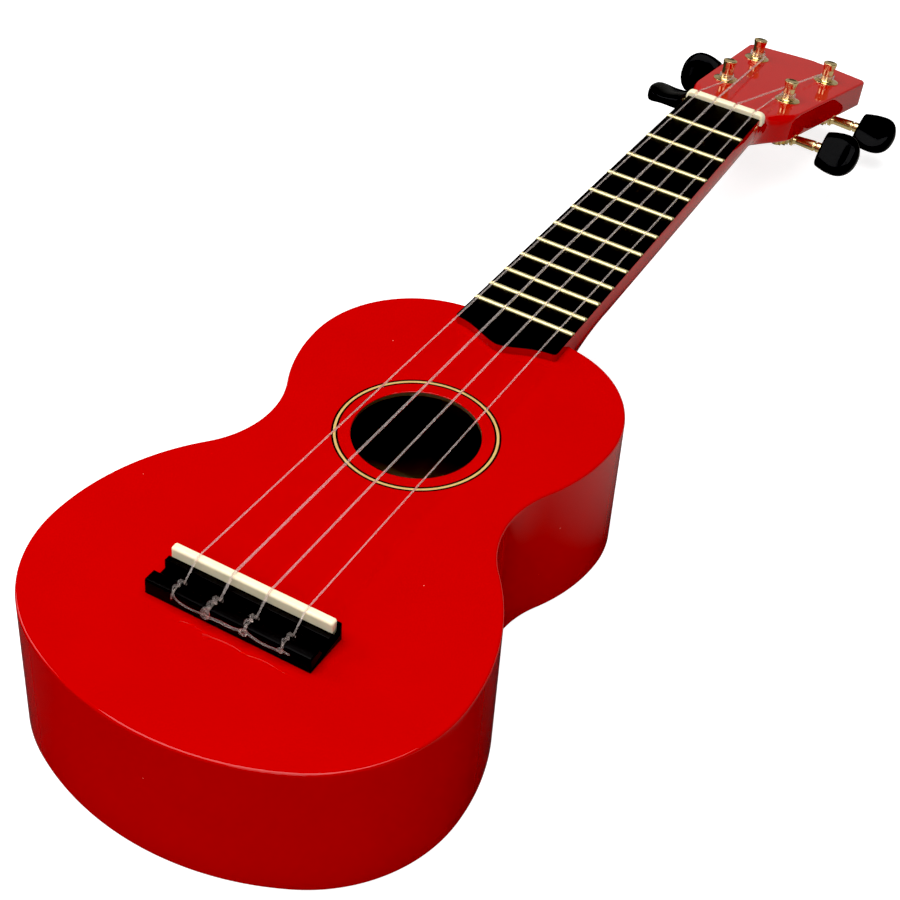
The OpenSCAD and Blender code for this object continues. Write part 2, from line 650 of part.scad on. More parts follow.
// worm: its radius at an angle follows the thread's profile, unrolled over one lead
worm_root_r = worm_pitch_r - dedendum;
worm_tip_r = worm_pitch_r + addendum;
function thread_r(x) = let (h = (tooth_half - abs(x)) / flank)
    min(worm_tip_r, max(worm_root_r, worm_pitch_r + h));
tip_a = (tooth_half - addendum * flank) / lead * 360;
root_a = (tooth_half + dedendum * flank) / lead * 360;
thread_angles = concat(
    [for (k = [0:3]) -tip_a + tip_a * 2 * k / 3],
    [for (k = [1:3]) tip_a + (root_a - tip_a) * k / 3],
    [for (k = [1:7]) root_a + (360 - 2 * root_a) * k / 8],
    [for (k = [0:2]) 360 - root_a + (root_a - tip_a) * k / 3]);
module worm(h, slices_per_turn) linear_extrude(
    height = h, twist = -360 * h / lead, slices = ceil(h / lead * slices_per_turn))
    polygon([for (a = thread_angles) let (x = (a > 180 ? a - 360 : a) / 360 * lead)
        thread_r(x) * [cos(a), sin(a)]]);
module worm_shaft(i) color(gold) worm_frame(i) {
    // the thread is turned so that a crest faces the cog in the middle of its length
    rotate([0, 0, -90 - 360 * worm_half_len / lead]) translate([0, 0, -worm_half_len])
        worm(2 * worm_half_len, 14);
    translate([0, 0, -ear_in + collar_gap]) cylinder(r = 1.9, h = collar_len, $fn = 32);
    translate([0, 0, -ear_in - ear_t - 0.5]) cylinder(r = journal_in_r, h = ear_t + 0.6, $fn = 32);
    translate([0, 0, worm_half_len]) rotate_extrude($fn = 48) translate([0, -worm_half_len]) polygon([
        [0, worm_half_len], [collar_r, worm_half_len], [collar_r, ear_in - collar_gap],
        [journal_out_r, ear_in - collar_gap], [journal_out_r, ear_in + ear_t + collar_gap],
        [collar_r, ear_in + ear_t + collar_gap], [barrel_in_r, ear_in + ear_t + 1.5],
        [barrel_out_r, barrel_end - 0.5], [barrel_out_r - 0.15, barrel_end], [1.7, barrel_end],
        [1.7, barrel_end + barrel_groove], [barrel_out_r - 0.1, barrel_end + barrel_groove],
        [barrel_out_r - 0.1, button_start], [stub_r, button_start],
        [stub_r, button_start + stub_len], [0, button_start + stub_len]]);
}
module worm_shaft_1() worm_shaft(0);
module worm_shaft_2() worm_shaft(1);
module worm_shaft_3() worm_shaft(2);
module worm_shaft_4() worm_shaft(3);

// button: flat inner end, wide round outer end, and faces that are hollow in the middle
function button_half_w(t) = t < 0.5
    ? inner_half + (button_w / 2 - inner_half) * sin(180 * t)
    : button_w / 2 * sqrt(max(0.02, 1 - pow((t - 0.5) / 0.5, 2.3)));
function button_half_t(t) =
    (2.9 + 0.5 * cos(360 * t) + 1.1 * t) * sqrt(max(0.02, 1 - pow(t, 12)));
function button_ring(t) = [for (j = [0:19]) let (a = -18 * j, c = cos(a), s = sin(a)) [
    button_half_t(t) * sign(c) * pow(abs(c), 0.7),
    button_half_w(t) * sign(s) * pow(abs(s), 0.8),
    button_len * t]];
module button(i) color([0.02, 0.02, 0.02]) worm_frame(i) rotate([0, 0, button_turn[i]])
    difference() {
        translate([0, 0, button_start])
            skin([for (t = [0, 0.04, 0.15, 0.3, 0.45, 0.6, 0.72, 0.82, 0.9, 0.95, 0.985, 1])
                button_ring(t)]);
        translate([0, 0, button_start - 1]) cylinder(r = stub_r, h = stub_len + 1, $fn = 32);
    }
module button_1() button(0);
module button_2() button(1);
module button_3() button(2);
module button_4() button(3);

soundboard();
back_plate();
bass_side();
treble_side();
top_linings();
back_linings();
neck_block();
tail_block();
upper_brace();
lower_brace();
bridge_plate();
upper_back_brace();
lower_back_brace();
rosette_gold();
rosette_black();
neck();
neck_dowels();
fretboard();
frets();
nut();
bridge();
saddle();
string_1();
string_2();
string_3();
string_4();
tuner_screws();
tuner_plate_1();
tuner_plate_2();
tuner_plate_3();
tuner_plate_4();
bushing_1();
bushing_2();
bushing_3();
bushing_4();
post_1();
post_2();
post_3();
post_4();
winding_1();
winding_2();
winding_3();
winding_4();
cog_1();
cog_2();
cog_3();
cog_4();
cog_screw_1();
cog_screw_2();
cog_screw_3();
cog_screw_4();
worm_shaft_1();
worm_shaft_2();
worm_shaft_3();
worm_shaft_4();
button_1();
button_2();
button_3();
button_4();
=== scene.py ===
import math
import bmesh
import bpy
import numpy as np
from mathutils import Matrix, Vector


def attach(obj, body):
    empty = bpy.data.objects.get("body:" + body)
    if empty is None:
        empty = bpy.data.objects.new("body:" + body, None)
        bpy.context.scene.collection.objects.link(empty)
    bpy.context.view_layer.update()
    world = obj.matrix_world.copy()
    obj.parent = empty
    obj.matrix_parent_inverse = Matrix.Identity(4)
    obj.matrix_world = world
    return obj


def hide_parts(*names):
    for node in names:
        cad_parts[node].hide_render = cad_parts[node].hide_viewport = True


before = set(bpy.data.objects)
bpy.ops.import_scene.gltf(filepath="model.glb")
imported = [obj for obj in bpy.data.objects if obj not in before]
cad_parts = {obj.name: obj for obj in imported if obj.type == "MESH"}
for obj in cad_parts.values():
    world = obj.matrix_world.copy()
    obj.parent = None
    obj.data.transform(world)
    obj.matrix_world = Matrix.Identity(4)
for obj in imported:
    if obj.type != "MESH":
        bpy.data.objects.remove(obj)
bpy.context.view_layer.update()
mm = 0.001  # shapes below are worked out in millimetres
print("frame loaded:", len(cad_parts), "nodes")


# ---- mesh tools ----

# rows of a grid joined to their neighbours as quads; either way may close on itself
def gridFaces(rows, cols, closeRows=False, closeCols=False):
    r = np.arange(rows if closeRows else rows - 1)[:, None]
    c = np.arange(cols if closeCols else cols - 1)[None, :]
    r2, c2 = (r + 1) % rows, (c + 1) % cols
    quads = np.stack([r * cols + c, r2 * cols + c, r2 * cols + c2, r * cols + c2], axis=-1)
    return quads.reshape(-1, 4)


# six times the signed volume: each quad's two triangles, as a triple product
def signedVolume(points, quads):
    a, b, c, d = (points[quads[:, k]] for k in range(4))
    return (np.einsum("ij,ij->i", a, np.cross(b, c)) + np.einsum("ij,ij->i", a, np.cross(c, d))).sum()


# a piece from grids of points in mm; each grid is (points, closeRows, closeCols, capRows)
# and a cap is one flat face over the first or the last row
def makePiece(name, grids, body, material, stands=(), sharp=35):
    points, faces, start = [], [], 0
    for grid, closeRows, closeCols, capRows in grids:
        rows, cols = grid.shape[:2]
        flat = grid.reshape(-1, 3) * mm
        quads = gridFaces(rows, cols, closeRows, closeCols)
        middle = flat.mean(axis=0)
        first = np.arange(cols)
        caps = [first, first[::-1] + (rows - 1) * cols] if capRows else []
        fan = [np.stack([cap, np.roll(cap, -1), np.full(cols, cap[0]), np.full(cols, cap[0])], axis=-1)
               for cap in caps]
        volume = signedVolume(flat - middle, np.concatenate([quads] + fan))
        flip = -1 if volume < 0 else 1
        faces += [list(q[::flip]) for q in (quads + start).tolist()]
        faces += [list(q[::flip]) for q in [(cap + start).tolist() for cap in caps]]
        points.append(flat)
        start += len(flat)
    mesh = bpy.data.meshes.new(name)
    mesh.from_pydata(np.concatenate(points).tolist(), [], faces)
    return finishPiece(name, mesh, body, material, stands, sharp)


# poles and seams closed, smooth shading with sharp edges above an angle, then its body and slot
def finishPiece(name, mesh, body, material, stands=(), sharp=35, merge=2e-7):
    bm = bmesh.new()
    bm.from_mesh(mesh)
    bmesh.ops.remove_doubles(bm, verts=bm.verts, dist=merge)
    bmesh.ops.dissolve_degenerate(bm, edges=bm.edges, dist=1e-8)
    bm.to_mesh(mesh)
    bm.free()
    mesh.shade_smooth()
    mesh.set_sharp_from_angle(angle=math.radians(sharp))
    piece = bpy.data.objects.new(name, mesh)
    bpy.context.scene.collection.objects.link(piece)
    mesh.materials.append(material)
    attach(piece, body)
    if stands:
        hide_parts(*stands)
    return piece


# one row of three numbers for each face: its centre or its normal
def faceRows(piece, kind):
    rows = np.zeros(len(piece.data.polygons) * 3)
    piece.data.polygons.foreach_get(kind, rows)
    return rows.reshape(-1, 3)


# the faces of a mask take a second finish
def secondFinish(piece, material, mask):
    piece.data.materials.append(material)
    piece.data.polygons.foreach_set("material_index", mask.astype(np.int32))


# copy of a CAD node, its flat triangles dissolved and its corners broken by a narrow bevel
def bevelledCopy(node, body, material, width=0.12, sharp=28):
    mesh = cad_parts[node].data.copy()
    mesh.materials.clear()
    bm = bmesh.new()
    bm.from_mesh(mesh)
    bmesh.ops.remove_doubles(bm, verts=bm.verts, dist=2e-6)
    bmesh.ops.dissolve_limit(bm, angle_limit=math.radians(0.8), verts=bm.verts, edges=bm.edges)
    bm.to_mesh(mesh)
    bm.free()
    piece = finishPiece(node + "_metal", mesh, body, material, (node,), sharp, 1e-7)
    bevel = piece.modifiers.new("brokenEdge", "BEVEL")
    bevel.width = width * mm
    bevel.segments = 2
    bevel.limit_method = "ANGLE"
    bevel.angle_limit = math.radians(sharp)
    bevel.harden_normals = True
    return piece


# ---- curves ----

# 0 below 0, 1 above 1, and 3t^2 - 2t^3 between
def smoothStep(t):
    t = np.clip(t, 0, 1)
    return t * t * (3 - 2 * t)


# corners of a 2-D line rounded: each corner becomes an arc that touches both its sides
def fillet(corners, radii, steps=6, closed=False):
    p = np.array(corners, float)
    out = []
    count = len(p)
    for k in range(count):
        r = radii[k] if hasattr(radii, "__len__") else radii
        if r == 0 or (not closed and k in (0, count - 1)):
            out.append(p[k][None])
            continue
        a, b = p[k - 1] - p[k], p[(k + 1) % count] - p[k]
        a, b = a / np.linalg.norm(a), b / np.linalg.norm(b)
        half = math.acos(np.clip(a @ b, -1, 1)) / 2
        if half > math.radians(88):
            out.append(p[k][None])
            continue
        mid = (a + b) / np.linalg.norm(a + b)
        centre = p[k] + mid * r / math.sin(half)
        first, last = p[k] + a * r / math.tan(half) - centre, p[k] + b * r / math.tan(half) - centre
        sweep = math.atan2(first[0] * last[1] - first[1] * last[0], first @ last)
        turn = np.linspace(0, sweep, steps + 1)[:, None]
        out.append(centre + first * np.cos(turn) + np.array([-first[1], first[0]]) * np.sin(turn))
    return np.concatenate(out)


# Catmull-Rom curve through the points: each span is a cubic of its four neighbours
def smoothPath(points, perSpan=8):
    p = np.array(points, float)
    q = np.concatenate([2 * p[:1] - p[1:2], p, 2 * p[-1:] - p[-2:-1]])
    t = np.linspace(0, 1, perSpan, endpoint=False)[None, :, None]
    a, b, c, d = q[:-3, None], q[1:-2, None], q[2:-1, None], q[3:, None]
    line = 0.5 * (2 * b + (c - a) * t + (2 * a - 5 * b + 4 * c - d) * t ** 2
                  + (3 * b - a - 3 * c + d) * t ** 3)
    return np.concatenate([line.reshape(-1, 3), p[-1:]])


# round tube: at each point of the path a circle square to its direction, closed by small domes
def tubeGrid(path, radius, sides=12, reference=(0.31, 0.23, 0.92)):
    path = np.asarray(path, float)
    way = np.gradient(path, axis=0)
    way /= np.linalg.norm(way, axis=1)[:, None]
    across = np.cross(way, np.array(reference))
    across /= np.linalg.norm(across, axis=1)[:, None]
    over = np.cross(way, across)
    lean = np.array([0, 0.55, 0.85, 1.0])  # dome: radius grows as the cosine of its height
    rise = np.sqrt(1 - lean ** 2)
    scale = np.concatenate([lean, np.ones(len(path) - 2), lean[::-1]])
    shift = np.concatenate([-rise, np.zeros(len(path) - 2), rise[::-1]]) * radius
    pick = np.concatenate([np.zeros(4, int), np.arange(1, len(path) - 1), np.full(4, len(path) - 1)])
    turn = np.linspace(0, 2 * math.pi, sides, endpoint=False)[None, :, None]
    centre = path[pick] + way[pick] * shift[:, None]
    ring = np.cos(turn) * across[pick][:, None] + np.sin(turn) * over[pick][:, None]
    return centre[:, None] + ring * (radius * scale)[:, None, None]


# profile of (radius, height) turned about the third axis
def turned(profile, steps=64):
    profile = np.asarray(profile, float)
    angle = np.linspace(0, 2 * math.pi, steps, endpoint=False)[None, :]
    r, z = profile[:, :1], profile[:, 1:]
    return np.stack([r * np.cos(angle), r * np.sin(angle), z + 0 * angle], axis=-1)


# ---- materials ----

def inputsOf(node, **values):
    for key, value in values.items():
        node.inputs[key.replace("_", " ")].default_value = value


# effect shared by several finishes, as a node group with named inputs and outputs
def newGroup(name, inputs, outputs):
    group = bpy.data.node_groups.new(name, "ShaderNodeTree")
    for label, kind, value in inputs:
        socket = group.interface.new_socket(label, in_out="INPUT", socket_type="NodeSocket" + kind)
        socket.default_value = value
    for label, kind in outputs:
        group.interface.new_socket(label, in_out="OUTPUT", socket_type="NodeSocket" + kind)
    return group, group.nodes.new("NodeGroupInput"), group.nodes.new("NodeGroupOutput")


def addNode(tree, kind, **settings):
    node = tree.nodes.new("ShaderNode" + kind)
    for key, value in settings.items():
        setattr(node, key, value)
    return node


# noise read at the piece's own coordinates: value of the noise, spread by a ramp between low and high
def noiseMask(tree, coords, scale, detail, low, high, stretch=(1, 1, 1)):
    mapping = addNode(tree, "Mapping")
    mapping.inputs["Scale"].default_value = stretch
    tree.links.new(coords, mapping.inputs["Vector"])
    noise = addNode(tree, "TexNoise")
    inputsOf(noise, Scale=scale, Detail=detail, Roughness=0.6)
    tree.links.new(mapping.outputs["Vector"], noise.inputs["Vector"])
    spread = addNode(tree, "MapRange")
    inputsOf(spread, From_Min=low, From_Max=high)
    tree.links.new(noise.outputs["Fac"], spread.inputs["Value"])
    return spread.outputs["Result"]


# fine scratches: thin bands of stretched noise, in two directions
def makeHairlines():
    group, given, result = newGroup(
        "hairlines", [("Scale", "Float", 1.0), ("Amount", "Float", 1.0)], [("Mask", "Float")])
    coords = addNode(group, "TexCoord")
    sized = addNode(group, "VectorMath", operation="SCALE")
    group.links.new(coords.outputs["Object"], sized.inputs[0])
    group.links.new(given.outputs["Scale"], sized.inputs["Scale"])
    masks = [noiseMask(group, sized.outputs[0], 260, 2, 0.66, 0.74, stretch)
             for stretch in ((1.0, 0.04, 1.0), (0.06, 1.0, 0.9))]
    both = addNode(group, "Math", operation="MAXIMUM")
    group.links.new(masks[0], both.inputs[0])
    group.links.new(masks[1], both.inputs[1])
    weak = addNode(group, "Math", operation="MULTIPLY")
    group.links.new(both.outputs[0], weak.inputs[0])
    group.links.new(given.outputs["Amount"], weak.inputs[1])
    group.links.new(weak.outputs[0], result.inputs["Mask"])
    return group


# dust: small round grains where a cell's own random number is high
def makeDust():
    group, given, result = newGroup(
        "dustGrains", [("Density", "Float", 0.1), ("Scale", "Float", 400.0)], [("Mask", "Float")])
    coords = addNode(group, "TexCoord")
    cells = addNode(group, "TexVoronoi")
    inputsOf(cells, Randomness=1.0)
    group.links.new(coords.outputs["Object"], cells.inputs["Vector"])
    group.links.new(given.outputs["Scale"], cells.inputs["Scale"])
    near = addNode(group, "Math", operation="LESS_THAN")
    near.inputs[1].default_value = 0.09
    group.links.new(cells.outputs["Distance"], near.inputs[0])
    parts = addNode(group, "SeparateColor")
    group.links.new(cells.outputs["Color"], parts.inputs["Color"])
    chosen = addNode(group, "Math", operation="LESS_THAN")
    group.links.new(parts.outputs["Red"], chosen.inputs[0])
    group.links.new(given.outputs["Density"], chosen.inputs[1])
    both = addNode(group, "Math", operation="MULTIPLY")
    group.links.new(near.outputs[0], both.inputs[0])
    group.links.new(chosen.outputs[0], both.inputs[1])
    group.links.new(both.outputs[0], result.inputs["Mask"])
    return group


# slow unevenness of a sprayed or polished surface: broad noise plus a finer one
def makeUneven():
    group, given, result = newGroup(
        "uneven", [("Broad", "Float", 60.0), ("Fine", "Float", 900.0), ("Share", "Float", 0.3)],
        [("Height", "Float")])
    coords = addNode(group, "TexCoord")
    layers = []
    for label in ("Broad", "Fine"):
        noise = addNode(group, "TexNoise")
        inputsOf(noise, Detail=2.0, Roughness=0.5)
        group.links.new(coords.outputs["Object"], noise.inputs["Vector"])
        group.links.new(given.outputs[label], noise.inputs["Scale"])
        layers.append(noise.outputs["Fac"])
    mix = addNode(group, "Mix", data_type="FLOAT")
    group.links.new(given.outputs["Share"], mix.inputs["Factor"])
    group.links.new(layers[0], mix.inputs[2])
    group.links.new(layers[1], mix.inputs[3])
    group.links.new(mix.outputs[0], result.inputs["Height"])
    return group


# wood fibres: noise drawn out along one axis, and wider darker bands across it
def makeGrain():
    group, given, result = newGroup(
        "woodGrain", [("Along", "Vector", (1.0, 0.05, 1.0)), ("Scale", "Float", 300.0)],
        [("Fibre", "Float"), ("Band", "Float")])
    coords = addNode(group, "TexCoord")
    drawn = addNode(group, "VectorMath", operation="MULTIPLY")
    group.links.new(coords.outputs["Object"], drawn.inputs[0])
    group.links.new(given.outputs["Along"], drawn.inputs[1])
    for label, factor in (("Fibre", 1.0), ("Band", 0.22)):
        size = addNode(group, "Math", operation="MULTIPLY")
        size.inputs[1].default_value = factor
        group.links.new(given.outputs["Scale"], size.inputs[0])
        noise = addNode(group, "TexNoise")
        inputsOf(noise, Detail=4.0, Roughness=0.65, Distortion=0.4)
        group.links.new(drawn.outputs[0], noise.inputs["Vector"])
        group.links.new(size.outputs[0], noise.inputs["Scale"])
        group.links.new(noise.outputs["Fac"], result.inputs[label])
    return group


hairlines, dustGrains, uneven, woodGrain = makeHairlines(), makeDust(), makeUneven(), makeGrain()


def newMaterial(name):
    material = bpy.data.materials.new(name)
    material.use_nodes = True
    tree = material.node_tree
    tree.nodes.clear()
    shader = addNode(tree, "BsdfPrincipled")
    output = addNode(tree, "OutputMaterial")
    tree.links.new(shader.outputs["BSDF"], output.inputs["Surface"])
    return material, tree, shader


def useGroup(tree, group, **values):
    node = addNode(tree, "Group", node_tree=group)
    for key, value in values.items():
        node.inputs[key].default_value = value
    return node


# colour that moves from one to the other as a mask goes from 0 to 1
def blendColour(tree, mask, first, second):
    mix = addNode(tree, "Mix", data_type="RGBA")
    tree.links.new(mask, mix.inputs["Factor"])
    for socket, value in ((mix.inputs[6], first), (mix.inputs[7], second)):
        if hasattr(value, "links"):
            tree.links.new(value, socket)
        else:
            socket.default_value = (*value, 1)
    return mix.outputs[2]


# number that moves from low to high as a mask goes from 0 to 1
def blendValue(tree, mask, low, high):
    spread = addNode(tree, "MapRange")
    inputsOf(spread, To_Min=low, To_Max=high)
    tree.links.new(mask, spread.inputs["Value"])
    return spread.outputs["Result"]


def addBump(tree, shader, height, strength, distance):
    bump = addNode(tree, "Bump")
    inputsOf(bump, Strength=strength, Distance=distance)
    tree.links.new(height, bump.inputs["Height"])
    tree.links.new(bump.outputs["Normal"], shader.inputs["Normal"])


lacquer = dict(
    red=(0.455, 0.0, 0.0), deep=(0.40, 0.0, 0.0), speck=(0.62, 0.12, 0.10),
    coat=1.0, coatRoughness=0.05, coatIor=1.33, roughness=0.5, specular=0.0, peel=0.012)


# sprayed colour under clear lacquer: slow unevenness, dust grains caught in it, fine scratches
def makeLacquer():
    material, tree, shader = newMaterial("redLacquer")
    wave = useGroup(tree, uneven, Broad=45.0, Fine=700.0, Share=0.25)
    grains = useGroup(tree, dustGrains, Density=0.012, Scale=330.0)
    scratch = useGroup(tree, hairlines, Scale=1.0, Amount=1.0)
    tone = blendColour(tree, wave.outputs["Height"], lacquer["deep"], lacquer["red"])
    colour = blendColour(tree, grains.outputs["Mask"], tone, lacquer["speck"])
    tree.links.new(colour, shader.inputs["Base Color"])
    tree.links.new(blendValue(tree, scratch.outputs["Mask"], lacquer["roughness"], 0.55),
                   shader.inputs["Roughness"])
    inputsOf(shader, Specular_IOR_Level=lacquer["specular"], Coat_Weight=lacquer["coat"],
             Coat_Roughness=lacquer["coatRoughness"], Coat_IOR=lacquer["coatIor"])
    addBump(tree, shader, wave.outputs["Height"], lacquer["peel"], 0.0004)
    return material


blackWood = dict(dark=(0.001, 0.001, 0.0011), lift=(0.004, 0.0035, 0.0035), roughness=(0.3, 0.5))


# black stained wood: faint open grain that lifts the colour and breaks the sheen
def makeBlackWood(name, along):
    material, tree, shader = newMaterial(name)
    grain = useGroup(tree, woodGrain, Along=along, Scale=900.0)
    grains = useGroup(tree, dustGrains, Density=0.03, Scale=520.0)
    tone = blendColour(tree, grain.outputs["Fibre"], blackWood["dark"], blackWood["lift"])
    tree.links.new(blendColour(tree, grains.outputs["Mask"], tone, (0.05, 0.045, 0.045)),
                   shader.inputs["Base Color"])
    tree.links.new(blendValue(tree, grain.outputs["Fibre"], *blackWood["roughness"]),
                   shader.inputs["Roughness"])
    inputsOf(shader, Specular_IOR_Level=0.05)
    addBump(tree, shader, grain.outputs["Fibre"], 0.25, 0.00008)
    return material


# unpainted wood, pale in itself, inside the body and on the cut edge of the sound hole; its colours are
# darkened far below pale wood as painted shade for the dark inside of the body
def makeShadedBareWood():
    material, tree, shader = newMaterial("shadedBareWood")
    grain = useGroup(tree, woodGrain, Along=(1.0, 0.07, 1.0), Scale=260.0)
    # painted shade: both grain tones are kept dark to stand in for the shade inside the body
    band = blendColour(tree, grain.outputs["Band"], (0.05, 0.027, 0.012), (0.10, 0.06, 0.03))
    tree.links.new(blendColour(tree, grain.outputs["Fibre"], band, (0.07, 0.042, 0.022)),
                   shader.inputs["Base Color"])
    tree.links.new(blendValue(tree, grain.outputs["Fibre"], 0.6, 0.85), shader.inputs["Roughness"])
    inputsOf(shader, Specular_IOR_Level=0.25)
    addBump(tree, shader, grain.outputs["Fibre"], 0.4, 0.0002)
    return material


# moulded cream plastic: warm, faintly mottled, polished on its working edges
def makeCream():
    material, tree, shader = newMaterial("creamPlastic")
    cloud = useGroup(tree, uneven, Broad=220.0, Fine=1500.0, Share=0.3)
    scratch = useGroup(tree, hairlines, Scale=2.0, Amount=1.0)
    tone = blendColour(tree, cloud.outputs["Height"], (0.76, 0.66, 0.44), (0.88, 0.80, 0.60))
    tree.links.new(tone, shader.inputs["Base Color"])
    tree.links.new(blendValue(tree, scratch.outputs["Mask"], 0.28, 0.5), shader.inputs["Roughness"])
    inputsOf(shader, Specular_IOR_Level=0.45, Subsurface_Weight=0.25, Subsurface_Scale=0.0012)
    shader.inputs["Subsurface Radius"].default_value = (1.0, 0.7, 0.4)
    addBump(tree, shader, cloud.outputs["Height"], 0.12, 0.0001)
    return material


# thin plated metal: bright, with drawn lines, a little tarnish and fine scratches
def makePlated(name, bright, tarnish, smooth, rough):
    material, tree, shader = newMaterial(name)
    cloud = useGroup(tree, uneven, Broad=420.0, Fine=2600.0, Share=0.4)
    scratch = useGroup(tree, hairlines, Scale=5.0, Amount=0.8)
    stain = blendValue(tree, cloud.outputs["Height"], -0.5, 1.2)
    tree.links.new(blendColour(tree, stain, bright, tarnish), shader.inputs["Base Color"])
    shader.inputs["Metallic"].default_value = 1.0
    mixed = addNode(tree, "Math", operation="MAXIMUM")
    tree.links.new(scratch.outputs["Mask"], mixed.inputs[0])
    tree.links.new(blendValue(tree, cloud.outputs["Height"], 0, 0.6), mixed.inputs[1])
    tree.links.new(blendValue(tree, mixed.outputs[0], smooth, rough), shader.inputs["Roughness"])
    addBump(tree, shader, cloud.outputs["Height"], 0.1, 0.00004)
    return material


# clear nylon: mostly seen through, with a cloudy share that catches the light; its pink tint is partly the
# nylon's own warmth and partly painted light, the red body seen through it
def makeNylon(name, clear, ior):
    material, tree, shader = newMaterial(name)
    cloud = useGroup(tree, uneven, Broad=500.0, Fine=3000.0, Share=0.5)
    # painted light in part: the pink tint stands for the red body seen through the nylon
    tree.links.new(blendColour(tree, cloud.outputs["Height"], (0.95, 0.84, 0.80), (1.0, 0.92, 0.89)),
                   shader.inputs["Base Color"])
    tree.links.new(blendValue(tree, cloud.outputs["Height"], 0.04, 0.14), shader.inputs["Roughness"])
    inputsOf(shader, Transmission_Weight=clear, IOR=ior)
    return material


# polished black plastic with handling marks
def makeButtonBlack():
    material, tree, shader = newMaterial("polishedBlack")
    cloud = useGroup(tree, uneven, Broad=120.0, Fine=1100.0, Share=0.2)
    scratch = useGroup(tree, hairlines, Scale=2.4, Amount=1.0)
    tree.links.new(blendColour(tree, cloud.outputs["Height"], (0.001, 0.001, 0.0012), (0.003, 0.003, 0.0035)),
                   shader.inputs["Base Color"])
    tree.links.new(blendValue(tree, scratch.outputs["Mask"], 0.14, 0.4), shader.inputs["Roughness"])
    inputsOf(shader, Specular_IOR_Level=0.03)
    addBump(tree, shader, cloud.outputs["Height"], 0.08, 0.0003)
    return material


# printed ring under the lacquer: ink with a slightly uneven edge tone
def makeRingInk(name, first, second, gloss):
    material, tree, shader = newMaterial(name)
    cloud = useGroup(tree, uneven, Broad=600.0, Fine=4000.0, Share=0.6)
    tree.links.new(blendColour(tree, cloud.outputs["Height"], first, second), shader.inputs["Base Color"])
    tree.links.new(blendValue(tree, cloud.outputs["Height"], 0.35, 0.5), shader.inputs["Roughness"])
    inputsOf(shader, Coat_Weight=gloss, Coat_Roughness=0.05, Specular_IOR_Level=0.3 * gloss)
    return material


redLacquer = makeLacquer()
boardBlack = makeBlackWood("boardBlack", (1.0, 0.05, 1.0))
bridgeBlack = makeBlackWood("bridgeBlack", (0.05, 1.0, 1.0))
shadedBareWood = makeShadedBareWood()
creamPlastic = makeCream()
goldPlate = makePlated("goldPlate", (0.92, 0.74, 0.38), (0.66, 0.46, 0.20), 0.12, 0.36)
fretMetal = makePlated("fretMetal", (0.86, 0.76, 0.42), (0.66, 0.56, 0.28), 0.42, 0.62)
stringNylon = makeNylon("stringNylon", 0.86, 1.16)
clearNylon = makeNylon("clearNylon", 0.95, 1.2)
polishedBlack = makeButtonBlack()
ringGold = makeRingInk("ringGold", (0.46, 0.28, 0.08), (0.66, 0.44, 0.16), 0.6)
ringBlack = makeRingInk("ringBlack", (0.003, 0.002, 0.002), (0.008, 0.005, 0.004), 0.1)
print("finishes ready")


# ---- body ----

body = dict(
    depth=54, plate=2, side=1.8, edge=0.9,
    lowerHalf=76.5, lowerY=1.5, waistHalf=47.6, waistY=80, waistR=37,
    upperHalf=59.4, upperY=128, tail=59, tailR=100, neckEnd=172, shoulderR=126)
hole = dict(r=22.3, y=98.3, rim=0.3)
rosette = dict(r=28.9, width=2.3, line=0.7, depth=0.6)


# right half of the outline as seven arcs that touch: points and the directions square to them
def halfOutline(spacing=0.8):
    b = body
    tail = np.array([0, b["tailR"] - b["tail"]])
    lowIn = (b["tailR"] ** 2 - b["lowerHalf"] ** 2 - (b["lowerY"] - tail[1]) ** 2) \
        / (2 * (b["tailR"] - b["lowerHalf"]))
    lowOut = ((b["lowerHalf"] - b["waistHalf"]) ** 2 + (b["lowerY"] - b["waistY"]) ** 2) \
        / (2 * (b["lowerHalf"] - b["waistHalf"])) - b["waistR"]
    upIn = ((b["upperHalf"] - b["waistHalf"]) ** 2 + (b["upperY"] - b["waistY"]) ** 2) \
        / (2 * (b["upperHalf"] - b["waistHalf"])) - b["waistR"]
    shoulder = np.array([0, b["neckEnd"] - b["shoulderR"]])
    upOut = (b["shoulderR"] ** 2 - b["upperHalf"] ** 2 - (b["upperY"] - shoulder[1]) ** 2) \
        / (2 * (b["shoulderR"] - b["upperHalf"]))
    waist = np.array([b["waistHalf"] + b["waistR"], b["waistY"]])
    centres = [tail, np.array([b["lowerHalf"] - lowIn, b["lowerY"]]),
               np.array([b["lowerHalf"] - lowOut, b["lowerY"]]), waist,
               np.array([b["upperHalf"] - upIn, b["upperY"]]),
               np.array([b["upperHalf"] - upOut, b["upperY"]]), shoulder]
    bearing = lambda p, q: math.atan2(q[1] - p[1], q[0] - p[0])
    tailA, lowA = bearing(tail, centres[1]), bearing(centres[2], waist)
    upA, shoulderA = bearing(centres[4], waist), bearing(shoulder, centres[5])
    arcs = [(tail, b["tailR"], -math.pi / 2, tailA, 1), (centres[1], lowIn, tailA, 0, 1),
            (centres[2], lowOut, 0, lowA, 1), (waist, b["waistR"], math.pi + lowA, math.pi + upA, -1),
            (centres[4], upIn, upA, 0, 1), (centres[5], upOut, 0, shoulderA, 1),
            (shoulder, b["shoulderR"], shoulderA, math.pi / 2, 1)]
    points, outward = [], []
    for centre, radius, start, stop, sign in arcs:
        count = max(3, int(abs(stop - start) * radius / spacing))
        a = np.linspace(start, stop, count + 1)[:-1]
        way = np.stack([np.cos(a), np.sin(a)], axis=-1)
        points.append(centre + radius * way)
        outward.append(sign * way)
    points.append([[0, b["neckEnd"]]])
    outward.append([[0, 1]])
    return np.concatenate(points), np.concatenate(outward)


halfLine, halfOut = halfOutline()
flipX = np.array([-1, 1])
bodyLine = np.concatenate([halfLine, (halfLine * flipX)[-2:0:-1]])
bodyOut = np.concatenate([halfOut, (halfOut * flipX)[-2:0:-1]])


# loop of the outline moved inwards by inset, at height z
def outlineLoop(inset, z, line=bodyLine, out=bodyOut):
    flat = line - inset * out
    return np.concatenate([flat, np.full((len(flat), 1), z)], axis=1)


